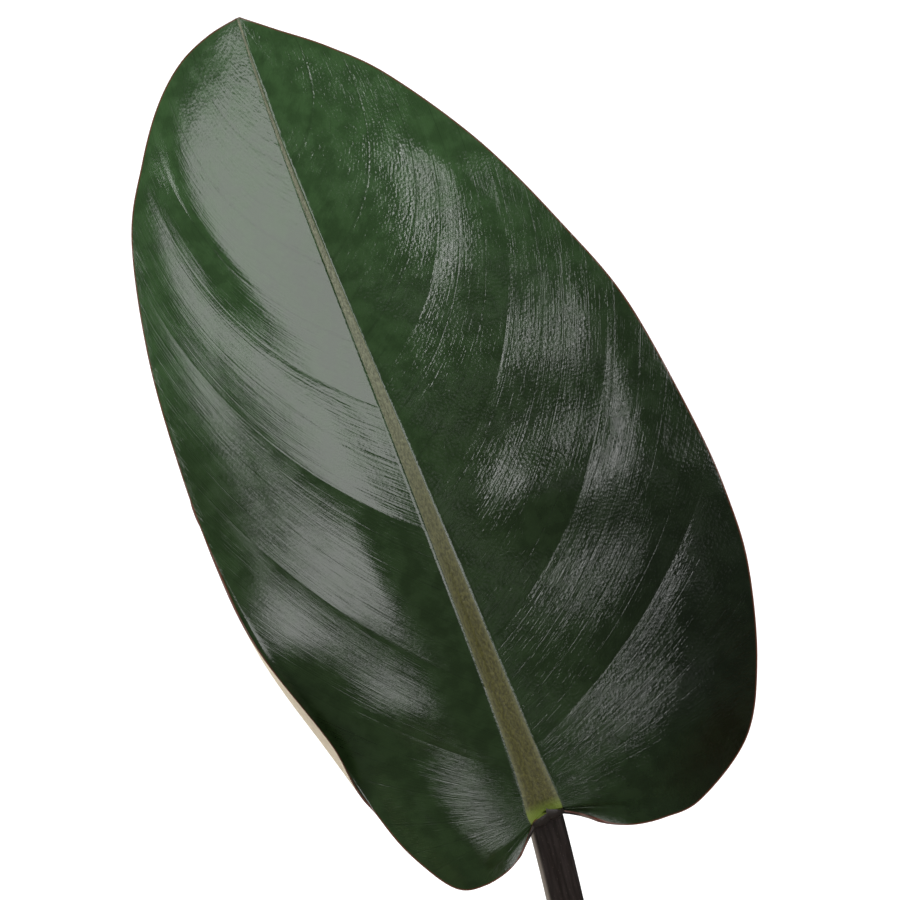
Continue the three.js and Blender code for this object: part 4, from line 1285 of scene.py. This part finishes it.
pot = turned("grower_pot", pot_section(), POT_STEPS)
cutter = cutters()
cut = pot.modifiers.new("holes", "BOOLEAN")
cut.object = cutter
cut.solver = "EXACT"
rounded = pot.modifiers.new("rounded_edges", "BEVEL")
rounded.width = 0.45 * MM
rounded.segments = 2
rounded.limit_method = "ANGLE"
rounded.angle_limit = 35 * DEGREE
apply_modifiers(pot)
bpy.data.objects.remove(cutter)
select_only(pot)
bpy.ops.object.shade_smooth_by_angle(angle=30 * DEGREE)
pot.data.materials.append(moulded_plastic("matt_moulded_polypropylene", "#8f4a30", "#a35a3c"))
hand_over(pot, "pot")

# %% [markdown]
# Potting mix for such plants is peat with bark chips and white perlite. The peat is one closed surface,
# laid as a grid round the axis. Crossing waves make it uneven. What is random comes from one seeded
# draw, so that every run gives the same pot.

# %% The potting mix
# In millimetres: how high the middle stands, how far the edge swells, the corner below, and the radius.
MIX = {"crown": 141, "swell": 1.6, "bottom_round": 3, "radius": 76.5}
# Each wave of the peat's surface: its size and its height.
LUMPS = ((17, 0.8), (9, 0.6), (5, 0.45), (3, 0.35), (1.9, 0.25))
PEAT_SIDES = 220
draw = np.random.default_rng(11)


def mix_height(radius):
    """The height of the mix's top at a distance from the axis, all in millimetres."""
    wide = MIX["radius"]
    return float(np.interp(radius, [0, wide / 3, wide / 2, wide * 0.8, wide],
                           [MIX["crown"], MIX["crown"], MIX["crown"] - MIX["swell"],
                            MIX_EDGE + MIX["swell"], MIX_EDGE]))


def lumps(x, y):
    """Uneven peat, in millimetres up or down, from a few crossing waves."""
    rough = np.zeros_like(x)
    for size, height in LUMPS:
        tilt = draw.uniform(0, math.tau, 6)
        rough += height * (np.sin(x / size * 2 + 2 * np.sin(y / size + tilt[0]) + tilt[1])
                           * np.sin(y / size * 2.3 + 1.7 * np.sin(x / size + tilt[2]) + tilt[3]))
    return rough


def peat():
    """The peat as one closed surface, from the middle of its floor up to the middle of its top."""
    floor = POT["channel"] + POT["wall"] + SEAT
    low = POT["foot"] - POT["wall"] - 2 * SEAT
    profile = [(0.05, floor), (low - MIX["bottom_round"], floor), (low, floor + MIX["bottom_round"]),
               (76.0, MIX_EDGE - 2), (76.3, MIX_EDGE - 0.6)]
    profile += [(radius, mix_height(radius)) for radius in np.linspace(75.6, 0.05, 84)]
    angle = 2 * math.pi * np.arange(PEAT_SIDES + 1) / PEAT_SIDES
    shell = np.zeros((len(profile), len(angle), 3))
    for i, (radius, height) in enumerate(profile):
        shell[i] = np.stack([radius * np.cos(angle), radius * np.sin(angle), np.full_like(angle, height)], -1)
    bumps = lumps(shell[..., 0], shell[..., 1])
    bumps[:4] = 0
    shell[..., 2] += bumps
    shell[:, -1] = shell[:, 0]
    piece, column, row = wrapped_grid(
        "peat", PEAT_SIDES, len(profile) - 1, lambda column, row: shell[row, column] * MM)
    select_only(piece)
    bpy.ops.object.mode_set(mode="EDIT")
    bpy.ops.mesh.select_all(action="SELECT")
    bpy.ops.mesh.remove_doubles(threshold=0.00002)
    bpy.ops.mesh.fill_holes(sides=0)
    bpy.ops.mesh.select_all(action="SELECT")
    bpy.ops.mesh.normals_make_consistent(inside=False)
    bpy.ops.object.mode_set(mode="OBJECT")
    bpy.ops.object.shade_smooth_by_angle(angle=60 * DEGREE)
    return piece


print("peat waves:", len(LUMPS))

# %% [markdown]
# One bark chip and one perlite grain are modelled. They are copied over the peat, and each copy is
# turned, sized and sunk a little by the same random draw. Every copy has its own mesh with slightly moved
# corners, because no two pieces of bark are alike.

# %% Bark chips and perlite
CHIPS = 330
GRAINS = 170
CHIP_SHAPE = (1, 0.55, 0.28)


def bark_chip():
    """A flat splinter of bark: a block with bevelled edges."""
    select_only()
    bpy.ops.mesh.primitive_cube_add(size=1)
    piece = bpy.context.object
    piece.scale = CHIP_SHAPE
    fix_in_mesh(piece)
    bpy.ops.object.mode_set(mode="EDIT")
    bpy.ops.mesh.select_all(action="SELECT")
    bpy.ops.mesh.bevel(offset=0.12, segments=1, affect="EDGES")
    bpy.ops.object.mode_set(mode="OBJECT")
    return piece


def perlite_grain():
    """A round crumb, which each copy makes uneven."""
    select_only()
    bpy.ops.mesh.primitive_ico_sphere_add(subdivisions=2, radius=0.5)
    return bpy.context.object


def scattered(model, count, sizes, sink, material_index):
    """Copies of one model over the peat, each with its own mesh, turn, size and uneven corners."""
    shape = points_of(model)
    copies = []
    for i in range(count):
        radius = 75 * math.sqrt(draw.uniform(0.07, 0.93))
        angle = draw.uniform(0, math.tau)
        size = draw.uniform(*sizes)
        radius = min(radius, 75.5 - size / 2)
        tilt = Matrix.Rotation(draw.uniform(0, math.tau), 3, "Z")
        tilt = tilt @ Matrix.Rotation(draw.normal(0, 0.35), 3, "X")
        tilt = np.array(tilt @ Matrix.Rotation(draw.normal(0, 0.3), 3, "Y"))
        height = mix_height(radius) + sink * size
        middle = np.array([radius * math.cos(angle), radius * math.sin(angle), height])
        uneven = shape * draw.uniform(0.75, 1.25, 3) + draw.normal(0, 0.035, shape.shape)
        copy = model.copy()
        copy.data = model.data.copy()
        bpy.context.collection.objects.link(copy)
        set_points(copy, (uneven * size @ tilt.T + middle) * MM)
        copy.data.polygons.foreach_set("material_index", [material_index] * len(copy.data.polygons))
        copies.append(copy)
    bpy.data.objects.remove(model)
    return copies


print("chips:", CHIPS, "grains:", GRAINS)

# %% [markdown]
# All three parts of the mix are dull and crumbly, and differ only in their two tones, their grain and how
# rough they are. Damp peat is nearly black, dry bark is warm brown and perlite is off-white.

# %% The mix's finishes, and the mix put together


def crumbly(name, low, high, scale, roughness, height):
    """Loose dull matter. The eye sees two tones in clumps and crumbs, and no shine. The scale is how
    many crumbs a metre has: 700 are 1.4 mm wide."""
    material, tree, shader = new_material(name)
    coords = node(tree, OBJECT_PLACE)
    coarse = node(tree, NOISE, Vector=coords, Scale=scale / 6, Detail=2)
    fine = node(tree, NOISE, Vector=coords, Scale=scale, Detail=5, Roughness=0.7)
    tone = node(tree, PLUS, node(tree, TIMES, coarse, 0.6), node(tree, TIMES, fine, 0.4))
    colour = node(tree, BLEND, node(tree, STRETCH, tone, 0.36, 0.62), low, high)
    shader.inputs["Roughness"].default_value = roughness
    connect(tree, shader, Base_Color=colour, Normal=node(tree, BUMP, fine, height, 0.9))
    return material


mix = peat()
for material in (crumbly("damp_peat", "#150f0b", "#33251a", 700, 0.95, 0.0012),
                 crumbly("pine_bark_chips", "#3a271a", "#7a5638", 300, 0.85, 0.0006),
                 crumbly("white_perlite", "#bdb8ac", "#e6e2d8", 500, 0.9, 0.0004)):
    mix.data.materials.append(material)
chips = scattered(bark_chip(), CHIPS, (4, 12), 0.08, 1)
grains = scattered(perlite_grain(), GRAINS, (1.5, 3.6), 0.15, 2)
for loose in chips + grains:
    for material in mix.data.materials:
        loose.data.materials.append(material)
select_only(mix, *chips, *grains)
bpy.ops.object.join()
hand_over(mix, "potting_mix")

# %% [markdown]
# The photograph has a plain white ground. A large pale floor stands for it here. It glows a little, and
# more so far away, so that it meets the white world with no line between them. The leaves don't mirror
# the floor, and the world is white only where the camera sees it and dim where a leaf would mirror it.

# %% Floor and world
FLOOR_SIZE = 40
# Metres from the middle of the floor, and how strongly it glows within the first and past the second.
GLOW = {"near": 0.9, "far": 5.0, "near_strength": 0.55, "far_strength": 0.95}
SEEN_BY_CAMERA = ("ShaderNodeLightPath", {}, (), "Is Camera Ray")
BETWEEN = ("ShaderNodeMapRange", {}, (0, 3, 4), 0)

select_only()
bpy.ops.mesh.primitive_plane_add(size=FLOOR_SIZE)
floor = bpy.context.object
floor.name = "floor"
floor_finish, tree, shader = new_material("matt_white_floor")
shader.inputs["Base Color"].default_value = linear("#e6e6e6")
shader.inputs["Roughness"].default_value = 0.9
shader.inputs["Emission Color"].default_value = (1, 1, 1, 1)
away = node(tree, DISTANCE, node(tree, OBJECT_PLACE))
connect(tree, shader, Emission_Strength=node(tree, STRETCH, away, *GLOW.values()))
floor.data.materials.append(floor_finish)
floor.visible_glossy = False

world = bpy.data.worlds.new("white_studio")
bpy.context.scene.world = world
world.use_nodes = True
background = world.node_tree.nodes["Background"]
background.inputs["Color"].default_value = (1, 1, 1, 1)
seen = node(world.node_tree, SEEN_BY_CAMERA)
connect(world.node_tree, background, Strength=node(world.node_tree, BETWEEN, seen, 0.1, 1.0))
bpy.context.scene.view_settings.view_transform = "Standard"
print("floor", FLOOR_SIZE, "m wide")

# %% [markdown]
# A glossy leaf is lit by what it mirrors. So each panel is placed by the angles at which the tall leaf
# sees it. A wide one up on the right gives the narrow half its grey sheen. A narrow bright one on the
# left gives the broad half its broken strokes of light, and a dim one low on the left fills between
# them. Their edges are feathered, because the patches of light in the photograph fade softly. The last
# three are plain soft panels that light the plant from the side, from above and from behind.

# %% The lights
LEAF_MIDDLE = Vector((-0.08, 0.10, 0.48))
ON_PANEL = ("ShaderNodeNewGeometry", {}, (), "Parametric")


def from_leaf(sideways, upward, distance):
    """A place seen from the tall leaf at these angles from the line to the camera."""
    out = TO_CAMERA + RIGHT * math.tan(sideways * DEGREE) + UP * math.tan(upward * DEGREE)
    return LEAF_MIDDLE + out.normalized() * distance


def panel(name, place, width, height, radiance, feather=None):
    """A soft panel that faces the tall leaf, with its size in metres and its brightness. The feather is
    how far its left, right, low and high edges fade, as shares of its size."""
    bpy.ops.object.light_add(type="AREA", location=place)
    light = bpy.context.object
    light.name = name
    light.rotation_euler = (Vector(place) - LEAF_MIDDLE).to_track_quat("Z", "Y").to_euler()
    light.data.shape = "RECTANGLE"
    light.data.size, light.data.size_y = width, height
    light.data.energy = radiance * math.pi * width * height
    light.visible_camera = False
    if feather:
        light.data.use_nodes = True
        tree = light.data.node_tree
        on_panel = node(tree, SPLIT, node(tree, ON_PANEL))
        strength = 1.0
        for axis, (from_start, from_end) in enumerate((feather[:2], feather[2:])):
            for edge in ((0, from_start), (1, 1 - from_end)):
                strength = node(tree, TIMES, node(tree, STRETCH, on_panel[axis], *edge), strength)
        connect(tree, tree.nodes["Emission"], Strength=strength)
    print(name, round(width, 2), "by", round(height, 2), "m")


panel("sheen_panel", from_leaf(18.3, 10.8, 1.6), 0.98, 0.85, 5.2, (0.25, 0.05, 0.06, 0.04))
panel("left_panel", from_leaf(-39.5, -8, 1.6), 0.17, 0.98, 11.0, (0.1, 0.1, 0.5, 0.15))
panel("low_soft_panel", from_leaf(-18, -12, 1.6), 0.26, 0.2, 0.9, (0.2, 0.2, 0.2, 0.2))
panel("side_panel", (-1.35, 0.15, 0.75), 0.9, 0.9, 5.0)
panel("top_panel", (0.0, 0.1, 2.3), 1.4, 1.4, 3.0)
panel("back_panel", (-1.2, 2.0, 1.3), 1.6, 1.4, 2.5)
